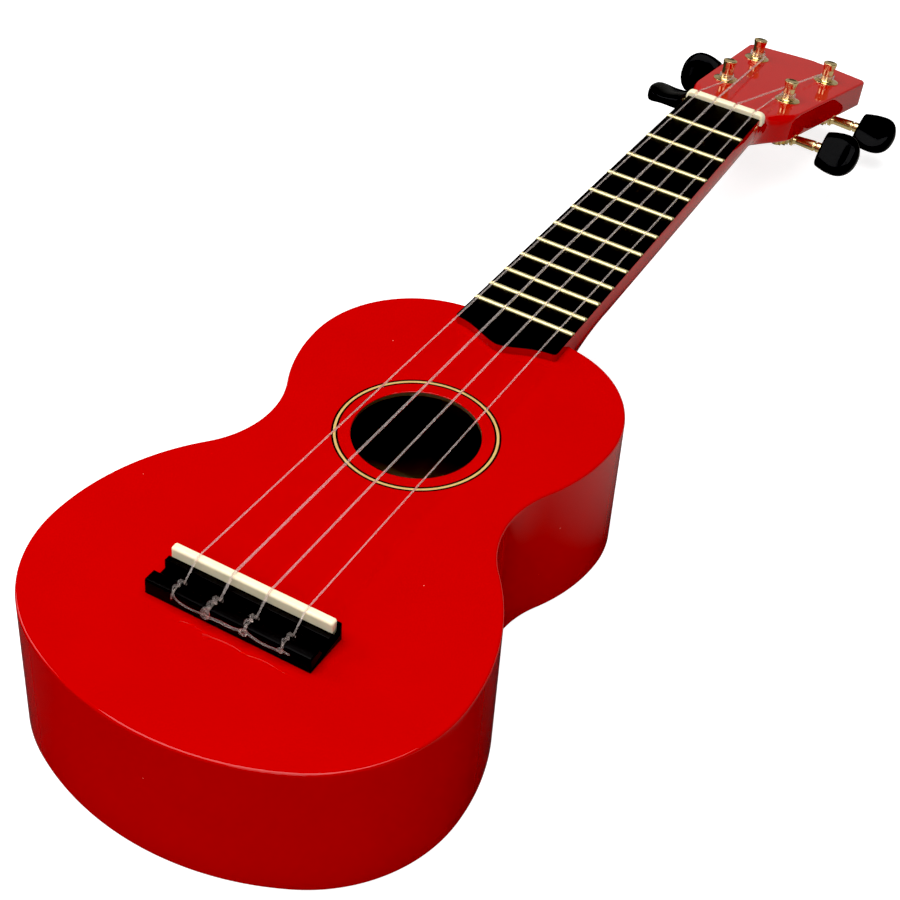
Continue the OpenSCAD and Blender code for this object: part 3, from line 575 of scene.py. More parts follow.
# quarter round from the wall onto a face: pairs of inset and drop below the face
def edgeRound(radius, steps=7):
    a = np.linspace(0, math.pi / 2, steps)
    return radius * (1 - np.sin(a))[::-1], radius * (1 - np.cos(a))[::-1]


top, inner = body["depth"], body["depth"] - body["plate"]
inset, drop = edgeRound(body["edge"])
fromHole = bodyLine - [0, hole["y"]]
fromHole /= np.linalg.norm(fromHole, axis=1)[:, None]


# circle round the sound hole, its points in line with those of the outline
def holeLoop(radius, z):
    flat = np.array([0, hole["y"]]) + radius * fromHole
    return np.concatenate([flat, np.full((len(flat), 1), z)], axis=1)


# soundboard: one section carried round the hole, from the wall over the face and into the hole
recess = rosette["r"] - rosette["width"]
rimIn, rimDrop = edgeRound(hole["rim"], 5)
loops = [outlineLoop(0, inner)]
loops += [outlineLoop(i, top - d) for i, d in zip(inset, drop)]
loops += [outlineLoop(body["edge"] + 0.4, top), holeLoop(rosette["r"] + 0.3, top),
          holeLoop(rosette["r"], top), holeLoop(rosette["r"], top - rosette["depth"]),
          holeLoop(recess, top - rosette["depth"]), holeLoop(recess, top),
          holeLoop(recess - 0.3, top), holeLoop(hole["r"] + hole["rim"] + 0.3, top)]
loops += [holeLoop(hole["r"] + i, top - d) for i, d in zip(rimIn[::-1], rimDrop[::-1])]
loops += [holeLoop(hole["r"], inner + 0.2), holeLoop(hole["r"] + 0.2, inner),
          outlineLoop(body["side"] + 3, inner)]
board = makePiece("soundboard_painted", [(np.array(loops), True, True, False)],
                  "root", redLacquer, ("soundboard",))

# inside of the soundboard and the cut edge of the hole are bare wood, in its darkened finish as painted shade
centres = faceRows(board, "center") / mm
away = np.linalg.norm(centres[:, :2] - [0, hole["y"]], axis=1)
bareAndShaded = (centres[:, 2] < inner + 0.05) | ((away < hole["r"] + 0.05) & (centres[:, 2] < top - 0.35))
secondFinish(board, shadedBareWood, bareAndShaded)

# sides: an upright strip of wood following each half of the outline
for name, mirror in (("treble_side", 1), ("bass_side", -1)):
    line, out = halfLine * [mirror, 1], halfOut * [mirror, 1]
    section = [(0, body["plate"]), (0, body["plate"] + 8), (0, inner - 8), (0, inner),
               (body["side"], inner), (body["side"], body["plate"])]
    strip = np.stack([outlineLoop(i, z, line, out) for i, z in section], axis=1)
    strip[[0, -1], :, 0] = 0  # both ends are cut square on the centreline
    side = makePiece(name + "_painted", [(strip, False, True, True)], "root",
                     redLacquer, (name,))
    facing, spot = faceRows(side, "normal"), faceRows(side, "center") / mm
    nearest = np.argmin(np.linalg.norm(spot[:, None, :2] - line[None], axis=2), axis=1)
    # faces turned inwards take the darkened bare wood, painted shade for the inside of the body
    secondFinish(side, shadedBareWood, (facing[:, :2] * out[nearest]).sum(axis=1) < -0.3)

# back: straight rows across the outline, its lower edge rounded like the soundboard's
backLoops = [outlineLoop(0, body["plate"])]
backLoops += [outlineLoop(i, d) for i, d in zip(inset, drop)]
backLoops += [outlineLoop(body["edge"] + 0.4, 0)]
backCols = 25
across = np.linspace(-1, 1, backCols)[None, :, None]
innerHalf = halfLine - (body["edge"] + 0.4) * halfOut
innerHalf[[0, -1], 0] = 0
rowsLow = np.concatenate([across * innerHalf[:, None, :1],
                          np.broadcast_to(innerHalf[:, None, 1:], (len(innerHalf), backCols, 1)),
                          np.zeros((len(innerHalf), backCols, 1))], axis=-1)
rowsHigh = np.concatenate([across * halfLine[:, None, :1],
                           np.broadcast_to(halfLine[:, None, 1:], (len(halfLine), backCols, 1)),
                           np.full((len(halfLine), backCols, 1), body["plate"])], axis=-1)


# back plate as three sheets that share their edges: rounded rim, outer face, inner face
def makeBack():
    rim = np.array(backLoops)
    points = np.concatenate([rim.reshape(-1, 3), rowsLow.reshape(-1, 3), rowsHigh.reshape(-1, 3)]) * mm
    cols = rim.shape[1]
    rimFaces = gridFaces(rim.shape[0], cols, False, True)
    lowFaces = gridFaces(*rowsLow.shape[:2]) + rim.shape[0] * cols
    highFaces = gridFaces(*rowsHigh.shape[:2]) + rim.shape[0] * cols + rowsLow.shape[0] * backCols
    mesh = bpy.data.meshes.new("back_painted")
    mesh.from_pydata(points.tolist(), [], rimFaces.tolist() + lowFaces.tolist() + highFaces.tolist())
    bm = bmesh.new()
    bm.from_mesh(mesh)
    bmesh.ops.remove_doubles(bm, verts=bm.verts, dist=1e-6)
    bmesh.ops.recalc_face_normals(bm, faces=bm.faces)
    bm.to_mesh(mesh)
    bm.free()
    return finishPiece("back_painted", mesh, "root", redLacquer, ("back_plate",))


back = makeBack()
# the inner face takes the darkened bare wood, painted shade for the inside of the body
secondFinish(back, shadedBareWood, faceRows(back, "normal")[:, 2] > 0.9)

# linings, blocks and braces inside take the darkened bare wood, painted shade for the inside of the body
for node in ("top_linings", "back_linings", "neck_block", "tail_block", "upper_brace", "lower_brace",
             "bridge_plate", "upper_back_brace", "lower_back_brace", "neck_dowels"):
    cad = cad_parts[node]
    cad.data.materials.clear()
    cad.data.materials.append(shadedBareWood)


# flat ring let into the soundboard: a small rounded section turned about the hole's centre
def ringGrid(outer, innerR):
    section = fillet([(outer, top), (innerR, top), (innerR, top - rosette["depth"]),
                      (outer, top - rosette["depth"])], [0.06, 0.06, 0, 0], 3, closed=True)
    return turned(section, 288) + [0, hole["y"], 0], True, True, False


outer, line = rosette["r"], rosette["line"]
makePiece("rosette_gold_ring", [ringGrid(outer - line, recess + line)], "root",
          ringGold, ("rosette_gold",))
makePiece("rosette_black_rings", [ringGrid(outer, outer - line), ringGrid(recess + line, recess)],
          "root", ringBlack, ("rosette_black",))
print("body ready")


# ---- neck and headstock ----

neck = dict(
    scale=346, nutW=33, endW=40.8, board=3.2, depth=15.5, heel=45, heelStart=36, faceY=350.4,
    tilt=math.radians(13), headT=11.5, headLen=95.6, gable=5.4, farHalf=28.5, nearHalf=23.8,
    lean=1.6, shoulder=22, corner=3, edge=0.8, softEdge=3.6, tuckEnd=25,
    root=170.3, bendStart=336, thicken=2.5)


def fretY(n):
    return neck["scale"] * 2 ** (-n / 12)


boardSlope = (neck["endW"] - neck["nutW"]) / 2 / (neck["scale"] - fretY(12))


def boardHalf(y):
    return neck["nutW"] / 2 + boardSlope * (neck["scale"] - y)


# a point of the headstock's own frame (across, along its face, out of its face) in the row frame
def onHead(p):
    p = np.asarray(p, float)
    c, s = math.cos(neck["tilt"]), math.sin(neck["tilt"])
    return np.stack([p[..., 0], neck["faceY"] + p[..., 1] * c + p[..., 2] * s,
                     top - p[..., 1] * s + p[..., 2] * c], axis=-1)


# headstock's half width along its face: a smooth flare, then a straight widening, then a round corner
def headHalf(s):
    start, length, r = neck["nutW"] / 2 + 0.4, neck["headLen"], neck["corner"]
    flare = start + (neck["nearHalf"] - start) * smoothStep((s - 2) / (neck["shoulder"] - 2))
    straight = neck["nearHalf"] + (neck["farHalf"] - neck["nearHalf"]) \
        * (s - neck["shoulder"]) / (length - r - neck["shoulder"])
    wide = np.where(s < neck["shoulder"], flare, straight)
    past = np.clip(s - (length - r), 0, r)
    return wide - (r - np.sqrt(r * r - past * past))


# neck as stations along its length; each section blends from a rounded back to a rounded box,
# and the far edge rises towards the middle by the gable's straight slope with a soft ridge
def neckGrid():
    n = neck
    bodyEnd = body["neckEnd"]
    shaft = np.concatenate([[n["root"]], bodyEnd + n["heelStart"] * np.linspace(0, 1, 26) ** 1.5,
                            np.linspace(bodyEnd + n["heelStart"], n["bendStart"], 26)[1:]]) - n["faceY"]
    bend = np.linspace(n["bendStart"] - n["faceY"], n["shoulder"] + 6, 70)[1:]
    blade = np.linspace(n["shoulder"] + 6, n["headLen"] - n["corner"], 24)[1:]
    tip = n["headLen"] - n["corner"] + n["corner"] * np.sin(np.linspace(0, math.pi / 2, 12))[1:]
    s = np.concatenate([shaft, bend, blade, tip])[:, None]
    y = s + n["faceY"]
    t = np.clip(1 - (y - bodyEnd) / n["heelStart"], 0, 1)
    sweep = 1 - np.sqrt(np.maximum(0, 1 - t * t))
    depth = n["depth"] + n["thicken"] * np.clip(n["scale"] - y, 0, None) / (n["scale"] - bodyEnd) \
        + (n["heel"] - n["depth"] - n["thicken"]) * sweep
    square = 0.8 + 0.45 * t
    toHead = smoothStep((s + 9) / (n["shoulder"] + 11))
    depth = depth * (1 - toHead) + n["headT"] * toHead
    lean = n["tilt"] * smoothStep((s + 12) / 14)
    half = np.where(s < 0, boardHalf(np.minimum(y, n["scale"])), headHalf(np.maximum(s, 0)))
    half = half + 0.4 * smoothStep((s + 6) / 6) * (s < 0)
    past = np.clip(s - (n["headLen"] - n["edge"]), 0, n["edge"])
    shrink = n["edge"] - np.sqrt(np.maximum(0, n["edge"] ** 2 - past ** 2))
    soft = smoothStep(s / 7) * (1 - smoothStep((s - 12) / (n["tuckEnd"] - 12)))
    edge = n["edge"] * toHead + n["softEdge"] * soft
    high = -edge - shrink

    under = np.arange(61)[None, :]  # left top corner, down, along the back, up to the right one
    mirror = np.minimum(under, 60 - under)
    angle = math.pi * under / 60
    roundX = -half * np.sign(np.cos(angle)) * np.abs(np.cos(angle)) ** square
    roundZ = high - (depth + high) * np.abs(np.sin(angle)) ** 0.85
    # box: side (0-10), corner (10-18), back (18-42), corner (42-50), side (50-60)
    r = 1.2 * toHead + 1e-3
    low = -depth + shrink
    turn = np.clip((mirror - 10) / 8, 0, 1) * math.pi / 2
    boxX = np.where(mirror <= 10, half, np.where(
        mirror <= 18, half - r + r * np.cos(turn), (half - r) * (1 - np.clip((mirror - 18) / 12, 0, 1))))
    boxZ = np.where(mirror <= 10, high + (low + r - high) * np.clip(mirror / 10, 0, 1), np.where(
        mirror <= 18, low + r - r * np.sin(turn), low))
    boxX = boxX * np.where(under <= 30, -1, 1)
    x = roundX * (1 - toHead) + boxX * toHead
    z = roundZ * (1 - toHead) + boxZ * toHead

    turn = np.clip(mirror / 10, 0, 1) * math.pi / 2  # the face, from the right corner to the left one
    lidX = np.where(mirror <= 10, half - edge + edge * np.cos(turn),
                    (half - edge) * (1 - np.clip((mirror - 10) / 20, 0, 1)))
    lidZ = np.where(mirror <= 10, high + edge * np.sin(turn), -shrink)
    lidX = lidX * np.where(under <= 30, 1, -1)
    x, z = np.concatenate([x, lidX[:, 1:-1]], axis=1), np.concatenate([z, lidZ[:, 1:-1]], axis=1)
    rise = n["gable"] * (1 - (np.abs(x) + 2 * np.exp(-np.abs(x) / 3)) / n["farHalf"])
    x = x + n["lean"] * np.maximum(s, 0) / n["headLen"]
    along = np.maximum(s, 0) + rise * np.clip((s - 40) / (n["headLen"] - 40), 0, 1) ** 2
    grid = np.stack([x, n["faceY"] + np.minimum(s, 0) + along * math.cos(n["tilt"]) + z * np.sin(lean),
                     top - along * math.sin(n["tilt"]) + z * np.cos(lean)], axis=-1)
    # both ends close on a line midway between the face and the back
    mate = -np.arange(grid.shape[1]) % grid.shape[1]
    ends = [(row + row[mate]) / 2 for row in (grid[0], grid[-1])]
    return np.concatenate([[ends[0], (grid[0] + ends[0]) / 2], grid, [(grid[-1] + ends[1]) / 2, ends[1]]])


makePiece("neck_painted", [(neckGrid(), False, True, False)], "root", redLacquer,
          ("neck",), sharp=40)

fretBoard = dict(end=159, tip=152.8, edge=0.35, corner=1.6)


# closed slab from a grid of plan points: flat underside, walls, rounded upper edge, flat top
def slabLoops(outline, low, high, edge, supports=0.5):
    ahead, behind = np.roll(outline, -1, axis=0), np.roll(outline, 1, axis=0)
    way = ahead - outline
    way /= np.linalg.norm(way, axis=1)[:, None]
    back = outline - behind
    back /= np.linalg.norm(back, axis=1)[:, None]
    normal = np.stack([way[:, 1] + back[:, 1], -way[:, 0] - back[:, 0]], axis=-1)
    normal /= np.maximum(1e-6, (normal ** 2).sum(axis=1) / 2)[:, None]  # mitred corners
    i, d = edgeRound(edge, 5)
    levels = [(supports, low), (0, low)] + list(zip(i, high - d)) + [(edge + supports, high)]
    return np.array([np.concatenate([outline - k * normal, np.full((len(outline), 1), z)], axis=1)
                     for k, z in levels])


# fretboard outline: two straight sides and, over the soundboard, two hollow curves meeting in a point
def boardOutline():
    f = fretBoard
    u = np.sin(np.linspace(-1, 1, 97) * math.pi / 2)
    width = boardHalf(f["end"])
    bracket = f["end"] - (f["end"] - f["tip"]) * (0.5 + 0.5 * np.cos(math.pi * np.abs(u) ** 0.8))
    past = np.clip(np.abs(u) * width - (width - f["corner"]), 0, f["corner"])
    bracket = bracket + f["corner"] - np.sqrt(f["corner"] ** 2 - past ** 2)
    y = np.linspace(f["end"] + f["corner"], neck["scale"], 40)[1:]
    right = np.stack([boardHalf(y), y], axis=-1)
    return np.concatenate([np.stack([width * u, bracket], axis=-1), right, (right * flipX)[::-1]])


fretBoardPiece = makePiece(
    "fretboard_black", [(slabLoops(boardOutline(), top, top + neck["board"], fretBoard["edge"]),
                         False, True, True)], "root", boardBlack, ("fretboard",))

# the fretboard's walls are sprayed red together with the neck
secondFinish(fretBoardPiece, redLacquer, np.abs(faceRows(fretBoardPiece, "normal")[:, 2]) < 0.3)

fret = dict(width=2.0, height=0.8, tang=0.5, bevel=0.5)


# fret: a half round section carried across the board, its ends sloped back
def fretGrid(n):
    y, half = fretY(n), boardHalf(fretY(n))
    a = np.linspace(0, math.pi, 13)
    sectionY = np.concatenate([fret["width"] / 2 * np.cos(a), [-fret["tang"] / 2, fret["tang"] / 2]])
    sectionZ = np.concatenate([fret["height"] * np.sin(a), [-1.2, -1.2]])
    back = fret["bevel"] * np.clip(sectionZ / fret["height"], 0, 1)
    share = np.array([-1, -0.98, -0.5, 0, 0.5, 0.98, 1])[:, None]
    x = share * (half - back[None, :])
    return np.stack([x, y + sectionY + 0 * x, top + neck["board"] + sectionZ + 0 * x], axis=-1)


makePiece("frets_metal", [(fretGrid(n), False, True, True) for n in range(1, 13)], "root",
          fretMetal, ("frets",), sharp=50)

nut = dict(half=17.6, length=3.8, height=5.2, stringH=4.5, spacing=8.8, slot=0.5, endR=2.4)
saddle = dict(half=29.8, y=1.9, t=3, seat=3, height=9.6, spacing=13.3)
stringR = [0.33, 0.45, 0.39, 0.31]


def across4(spacing, i):
    return (i - 1.5) * spacing


# bar along X: a section, drawn in slightly at each end so that its corners are round
def barGrid(section, x0, x1, round_, dips=None, steps=5):
    ahead, behind = np.roll(section, -1, axis=0), np.roll(section, 1, axis=0)
    way = ahead - behind
    way /= np.linalg.norm(way, axis=1)[:, None]
    normal = np.stack([way[:, 1], -way[:, 0]], axis=-1)
    area = (section[:, 0] * ahead[:, 1] - section[:, 1] * ahead[:, 0]).sum()
    normal *= 1 if area > 0 else -1
    a = np.linspace(0, math.pi / 2, steps)
    inward, along = round_ * (1 - np.sin(a)), round_ * (1 - np.cos(a))
    middle = np.linspace(x0 + round_, x1 - round_, 3)[1:-1] if dips is None else dips
    xs = np.concatenate([x0 + along, middle, x1 - along[::-1]])
    insets = np.concatenate([inward, np.zeros(len(middle)), inward[::-1]])
    ring = section[None] - insets[:, None, None] * normal[None]
    return np.concatenate([np.broadcast_to(xs[:, None, None], ring.shape[:2] + (1,)), ring], axis=-1)


# the top of a bar pressed down round each string: depth times a bell of the distance across
def notched(grid, places, depths, width, above):
    gap = grid[..., 0, None] - np.array(places)
    bell = (np.array(depths) * np.exp(-(gap / width) ** 4)).max(axis=-1)
    grid = grid.copy()
    grid[..., 2] -= bell * np.clip((grid[..., 2] - above) / 0.3, 0, 1)
    return grid


# sampling along a bar: evenly, and closely where a string crosses
def barStations(half, places, width):
    fine = (np.array(places)[:, None] + np.linspace(-width, width, 17)).ravel()
    return np.unique(np.concatenate([np.linspace(-half, half, 41), fine]).round(4))


nutSection = fillet([(neck["scale"], top), (neck["scale"] + nut["length"], top),
                     (neck["scale"] + nut["length"], top + nut["height"]),
                     (neck["scale"], top + nut["height"])], [0.2, 0.2, 1.5, 0.7], 8, closed=True)
nutPlaces = [across4(nut["spacing"], i) for i in range(4)]
nutX = barStations(nut["half"] - 0.8, nutPlaces, 0.9)
drooping = nut["half"] - 0.8 - nut["endR"] * (1 - np.sin(np.linspace(0, math.pi / 2, 10)))
nutX = np.unique(np.concatenate([nutX, drooping, -drooping]).round(4))
nutGrid = barGrid(nutSection, -nut["half"], nut["half"], 0.7, nutX)
nutGrid = notched(nutGrid, nutPlaces, [nut["height"] - nut["stringH"] + r * 0.6 for r in stringR],
                  0.45, top + nut["stringH"] - 1.2)
# both upper ends droop along a quarter circle
past = np.clip(np.abs(nutGrid[..., 0]) - (nut["half"] - nut["endR"]), 0, nut["endR"])
droop = nut["endR"] - np.sqrt(nut["endR"] ** 2 - past ** 2)
nutGrid[..., 2] = top + (nutGrid[..., 2] - top) * (1 - droop / nut["height"])
makePiece("nut_cream", [(nutGrid, False, True, True)], "root", creamPlastic, ("nut",))

half = saddle["t"] / 2
saddleSection = fillet(
    [(saddle["y"] - half, top + saddle["seat"]), (saddle["y"] + half, top + saddle["seat"]),
     (saddle["y"] + half, top + saddle["height"]), (saddle["y"] - half, top + saddle["height"])],
    [0, 0, 0.6, 1.0], 10, closed=True)
saddlePlaces = [across4(saddle["spacing"], i) for i in range(4)]
saddleX = barStations(saddle["half"] - 1.6, saddlePlaces, 0.9)
saddleGrid = notched(barGrid(saddleSection, -saddle["half"], saddle["half"], 0.9, saddleX), saddlePlaces,
                     [0.12] * 4, 0.5, top + saddle["height"] - 0.6)
makePiece("saddle_cream", [(saddleGrid, False, True, True)], "root", creamPlastic,
          ("saddle",))
print("neck ready")


# ---- bridge and strings ----

bridge = dict(half=30.5, rear=-12.3, blockFront=-7.5, blockH=5.9, channelRear=-4.7, channelFront=-2.1,
              floor=2.3, ridge=5.8, front=4.9, rim=7.2, holeZ=3.2, edge=0.45)
b = bridge
bridgeSection = fillet(
    [(b["rear"], top), (b["front"], top), (b["front"], top + b["rim"]),
     (saddle["y"] + half, top + b["rim"]), (saddle["y"] + half, top + saddle["seat"]),
     (saddle["y"] - half, top + saddle["seat"]), (saddle["y"] - half, top + b["ridge"]),
     (b["channelFront"], top + b["ridge"]), (b["channelFront"], top + b["floor"]),
     (b["channelRear"], top + b["floor"]), (b["blockFront"], top + b["blockH"]),
     (b["rear"], top + b["blockH"])],
    [0.1, 0.1, 0.7, 0.15, 0, 0, 0.15, 0.4, 0.3, 0.3, 0.5, 0.8], 5, closed=True)
makePiece("bridge_black", [(barGrid(bridgeSection, -b["half"], b["half"], b["edge"]), False, True, True)],
          "root", bridgeBlack, ("bridge",))

tuner = dict(
    side=[-1, -1, 1, 1], s=[36, 77.2, 77.2, 36], x=[15.4, 17, 17, 13.8],
    wormS=6.8, wormN=-18, turn=[-3, 72, 35, 48], postR=3, coreR=2.5, windLow=1.4, windHigh=3.6,
    gap=0.05)


# a point of a tuner's own frame (outwards, along the face, out of the face) in the row frame
def onTuner(i, p):
    p = np.asarray(p, float)
    return onHead(np.stack([tuner["side"][i] * (tuner["x"][i] + p[..., 0]), tuner["s"][i] + p[..., 1],
                            p[..., 2]], axis=-1))


# a point of a worm shaft's frame, its third axis pointing outwards along the shaft
def onWorm(i, p):
    p = np.asarray(p, float)
    return onTuner(i, np.stack([p[..., 2], tuner["wormS"] + p[..., 1], tuner["wormN"] - p[..., 0]],
                               axis=-1))


def leaveR(i):
    return tuner["coreR"] + 3 * stringR[i] + tuner["gap"]


# string from its winding over the nut and the saddle and into its hole in the tie block
def speakingPath(i):
    r, x, nx = stringR[i], across4(saddle["spacing"], i), across4(nut["spacing"], i)
    start = onTuner(i, [-leaveR(i), 0, tuner["windLow"] + r])
    nutZ, saddleZ = top + nut["stringH"], top + saddle["height"]
    kink = [(nx, neck["scale"] + nut["length"] + 0.2, nutZ - 0.02), (nx, neck["scale"] + 2.2, nutZ),
            (nx, neck["scale"], nutZ)]
    bend = np.radians([90, 103, 116, 128])  # round the saddle's rear edge, of radius 1
    rest = [(x, saddle["y"] + 1.2, saddleZ + r - 0.02)]
    rest += [(x, saddle["y"] - 0.5 + (1 + r) * math.cos(a), saddleZ - 1 + (1 + r) * math.sin(a)) for a in bend]
    intoBlock = [(x, b["channelRear"] - 1.3, top + b["holeZ"] + 1.6),
                 (x, b["blockFront"] + 0.4, top + b["holeZ"] + 0.4)]
    lines = [start] + kink + rest + intoBlock
    dense = []
    for p, q in zip(lines[:-1], lines[1:]):
        p, q = np.array(p), np.array(q)
        steps = max(3, int(np.linalg.norm(q - p) / 6))
        dense.append(p + (q - p) * np.linspace(0, 1, steps, endpoint=False)[:, None])
    return np.concatenate(dense + [[lines[-1]]])


# tie: through the block, up over its rear edge, forward, round the string, back in twists, then
# a tail along the rear edge; the points are (across, along, above the soundboard)
def tiePath(i):
    r, x = stringR[i], across4(saddle["spacing"], i)
    deck = b["blockH"] + r
    through = [(x, b["blockFront"] + 0.4, b["holeZ"] + 0.4), (x, -9.5, b["holeZ"]),
               (x, b["rear"] - 0.2, b["holeZ"]), (x + 0.1, b["rear"] - r - 0.35, b["holeZ"] + 1.2),
               (x + 0.2, b["rear"] + 0.1, deck - 0.2), (x + 0.2, -11.0, deck + 0.05),
               (x + 0.1, -9.0, deck + 0.1), (x + 0.3, b["blockFront"] + 0.3, deck + 0.15)]
    loop = [(x + 2.2 * r + 0.1, b["blockFront"] + 1.0, deck - 0.8),
            (x + 0.5, b["blockFront"] + 2.0, b["holeZ"] + 1.1),
            (x - 2.2 * r - 0.1, b["blockFront"] + 1.3, deck - 0.6),
            (x - 1.3 * r, b["blockFront"] + 0.2, deck + 0.5)]
    u = np.linspace(0.08, 1, 14)
    twist = 2 * math.pi * 1.4 * u + 2.4
    wrapR = 2.05 * r
    y = b["blockFront"] - 0.2 + (b["rear"] + 0.7 - b["blockFront"]) * u
    wraps = np.stack([x + 0.15 + wrapR * np.cos(twist), y,
                      deck + 0.1 + wrapR * (0.75 + 0.75 * np.sin(twist))], axis=-1)
    return through + loop + [tuple(p) for p in wraps]


tieTails = [
    [(0.9, -12.9, 5.6), (3.0, -13.2, 4.3), (7.0, -13.1, 3.5), (11.0, -13.1, 3.9), (12.8, -13.3, 4.6)],
    [(-0.9, -12.8, 6.6), (-1.6, -13.4, 5.2), (-0.6, -13.9, 3.9), (0.8, -13.8, 4.3), (0.9, -13.3, 5.8),
     (-0.3, -13.0, 6.4), (-0.9, -13.5, 5.2), (0.6, -13.6, 4.4), (4.0, -13.2, 4.4), (9.0, -13.1, 4.2),
     (12.6, -13.2, 4.9)],
    [(0.8, -12.9, 5.8), (1.2, -13.4, 4.4), (-0.7, -13.5, 4.0), (-0.8, -13.1, 5.4), (0.9, -13.0, 5.4),
     (4.0, -13.1, 4.3), (8.0, -13.1, 3.8), (12.6, -13.2, 4.4)],
    [(0.7, -12.9, 5.6), (0.9, -13.3, 4.4), (-0.6, -13.3, 4.2), (-0.4, -13.0, 5.3), (1.2, -13.0, 4.8),
     (3.2, -13.0, 4.6)]]

for i in range(4):
    x = across4(saddle["spacing"], i)
    ending = [(x + dx, y, z) for dx, y, z in tieTails[i]]
    knot = smoothPath(np.array(tiePath(i) + ending) + [0, 0, top], 6)
    piece = makePiece("string_%d_nylon" % (i + 1),
                      [(tubeGrid(speakingPath(i), stringR[i], 14, (1, 0.02, 0)), False, True, True),
                       (tubeGrid(knot, stringR[i], 10), False, True, True)],
                      "root", stringNylon, ("string_%d" % (i + 1),), sharp=60)
    slack = faceRows(piece, "center")[:, 1] < (bridge["blockFront"] + 2.5) * mm
    secondFinish(piece, clearNylon, slack)  # the knot is slack and clearer
print("strings ready")


# ---- tuning machines ----

postProfile = fillet(
    [(0, -19), (1.6, -19), (1.6, -17), (3, -17), (3, 1.2), (2.5, 1.2), (2.5, 5.6), (3, 8.2),
     (3, 8.65), (2.7, 8.8), (1.6, 8.4), (0, 8.3)],
    [0, 0, 0, 0, 0.1, 0, 1.2, 0.3, 0.15, 0.15, 1.0, 0], 6)
bushingProfile = fillet([(3.05, -5), (4, -5), (4, 0), (5.5, 0), (5.5, 0.35), (4.6, 0.6), (3.7, 0.75),
                         (3.5, 1), (3.05, 1)], [0, 0, 0, 0.1, 0.12, 0.3, 0.2, 0.1, 0.05], 4, closed=True)
shaft = dict(
    end=-6.1, journalIn=1.2, collarIn=1.9, collarOut=2.4, journalOut=2.0, earIn=4.6, earOut=5.6,
    barrelIn=1.9, barrelOut=2.35, barrelEnd=15.6, groove=0.7, grooveR=1.7, ringR=2.25, start=18.6,
    stub=1.6, stubEnd=24.6)
worm = dict(half=3.5, pitchR=2.0, lead=2 * math.pi * 4.8 / 14, toothHalf=0.36, rise=0.62, fall=0.78,
            flank=math.tan(math.radians(15)))


# radius of the worm at an angle and a height: the thread's trapezoid, unrolled over one lead
def threadRadius(angle, z):
    w = worm
    x = (angle + math.pi / 2) / (2 * math.pi) * w["lead"] - z
    x = (x + w["lead"] / 2) % w["lead"] - w["lead"] / 2
    return np.clip(w["pitchR"] + (w["toothHalf"] - np.abs(x)) / w["flank"],
                   w["pitchR"] - w["fall"], w["pitchR"] + w["rise"])


# worm shaft: journal and collar, threaded length, then collar, journal, barrel, ring and stub
def shaftGrid():
    f = shaft
    inside = fillet([(0, f["end"]), (f["journalIn"], f["end"]), (f["journalIn"], -f["earIn"] + 0.1),
                     (f["collarIn"], -f["earIn"] + 0.1), (f["collarIn"], -worm["half"])],
                    [0, 0.2, 0, 0.15, 0], 5)
    outside = fillet(
        [(f["collarOut"], worm["half"]), (f["collarOut"], f["earIn"] - 0.1),
         (f["journalOut"], f["earIn"] - 0.1),
         (f["journalOut"], f["earOut"] + 0.1), (f["collarOut"], f["earOut"] + 0.1),
         (f["barrelIn"], f["earOut"] + 1.5), (f["barrelOut"], f["barrelEnd"] - 0.5),
         (f["barrelOut"] - 0.15, f["barrelEnd"]), (f["grooveR"], f["barrelEnd"]),
         (f["grooveR"], f["barrelEnd"] + f["groove"]), (f["ringR"], f["barrelEnd"] + f["groove"]),
         (f["ringR"], f["start"]), (f["stub"], f["start"]), (f["stub"], f["stubEnd"]), (0, f["stubEnd"])],
        [0, 0.1, 0, 0, 0.12, 0.4, 0.4, 0.12, 0, 0, 0.2, 0.25, 0, 0.2, 0], 5)
    angle = np.linspace(0, 2 * math.pi, 72, endpoint=False)[None, :]
    z = np.linspace(-worm["half"], worm["half"], 120)[:, None]
    r = np.concatenate([inside[:, :1] + 0 * angle, threadRadius(angle, z), outside[:, :1] + 0 * angle])
    z = np.concatenate([inside[:, 1:], z, outside[:, 1:]]) + 0 * angle
    return np.stack([r * np.cos(angle), r * np.sin(angle), z], axis=-1)


# winding: a helix that peels off the post at its lower end and goes into it at the upper one
def windingPath(i):
    r = stringR[i]
    turns = int((tuner["windHigh"] - tuner["windLow"]) / (2 * r) - 0.4)
    u = np.linspace(0, turns, turns * 28 + 1)
    radius = tuner["coreR"] + r + 2 * r * smoothStep(1 - u / 0.4) \
        - 2.2 * smoothStep((u - turns + 0.12) / 0.12)
    angle = math.pi + 2 * math.pi * u
    height = tuner["windLow"] + r + 2.03 * r * np.maximum(0, u - 0.15)
    return np.stack([radius * np.cos(angle), radius * np.sin(angle), height], axis=-1)


button = dict(length=17, width=19.8, inner=8)


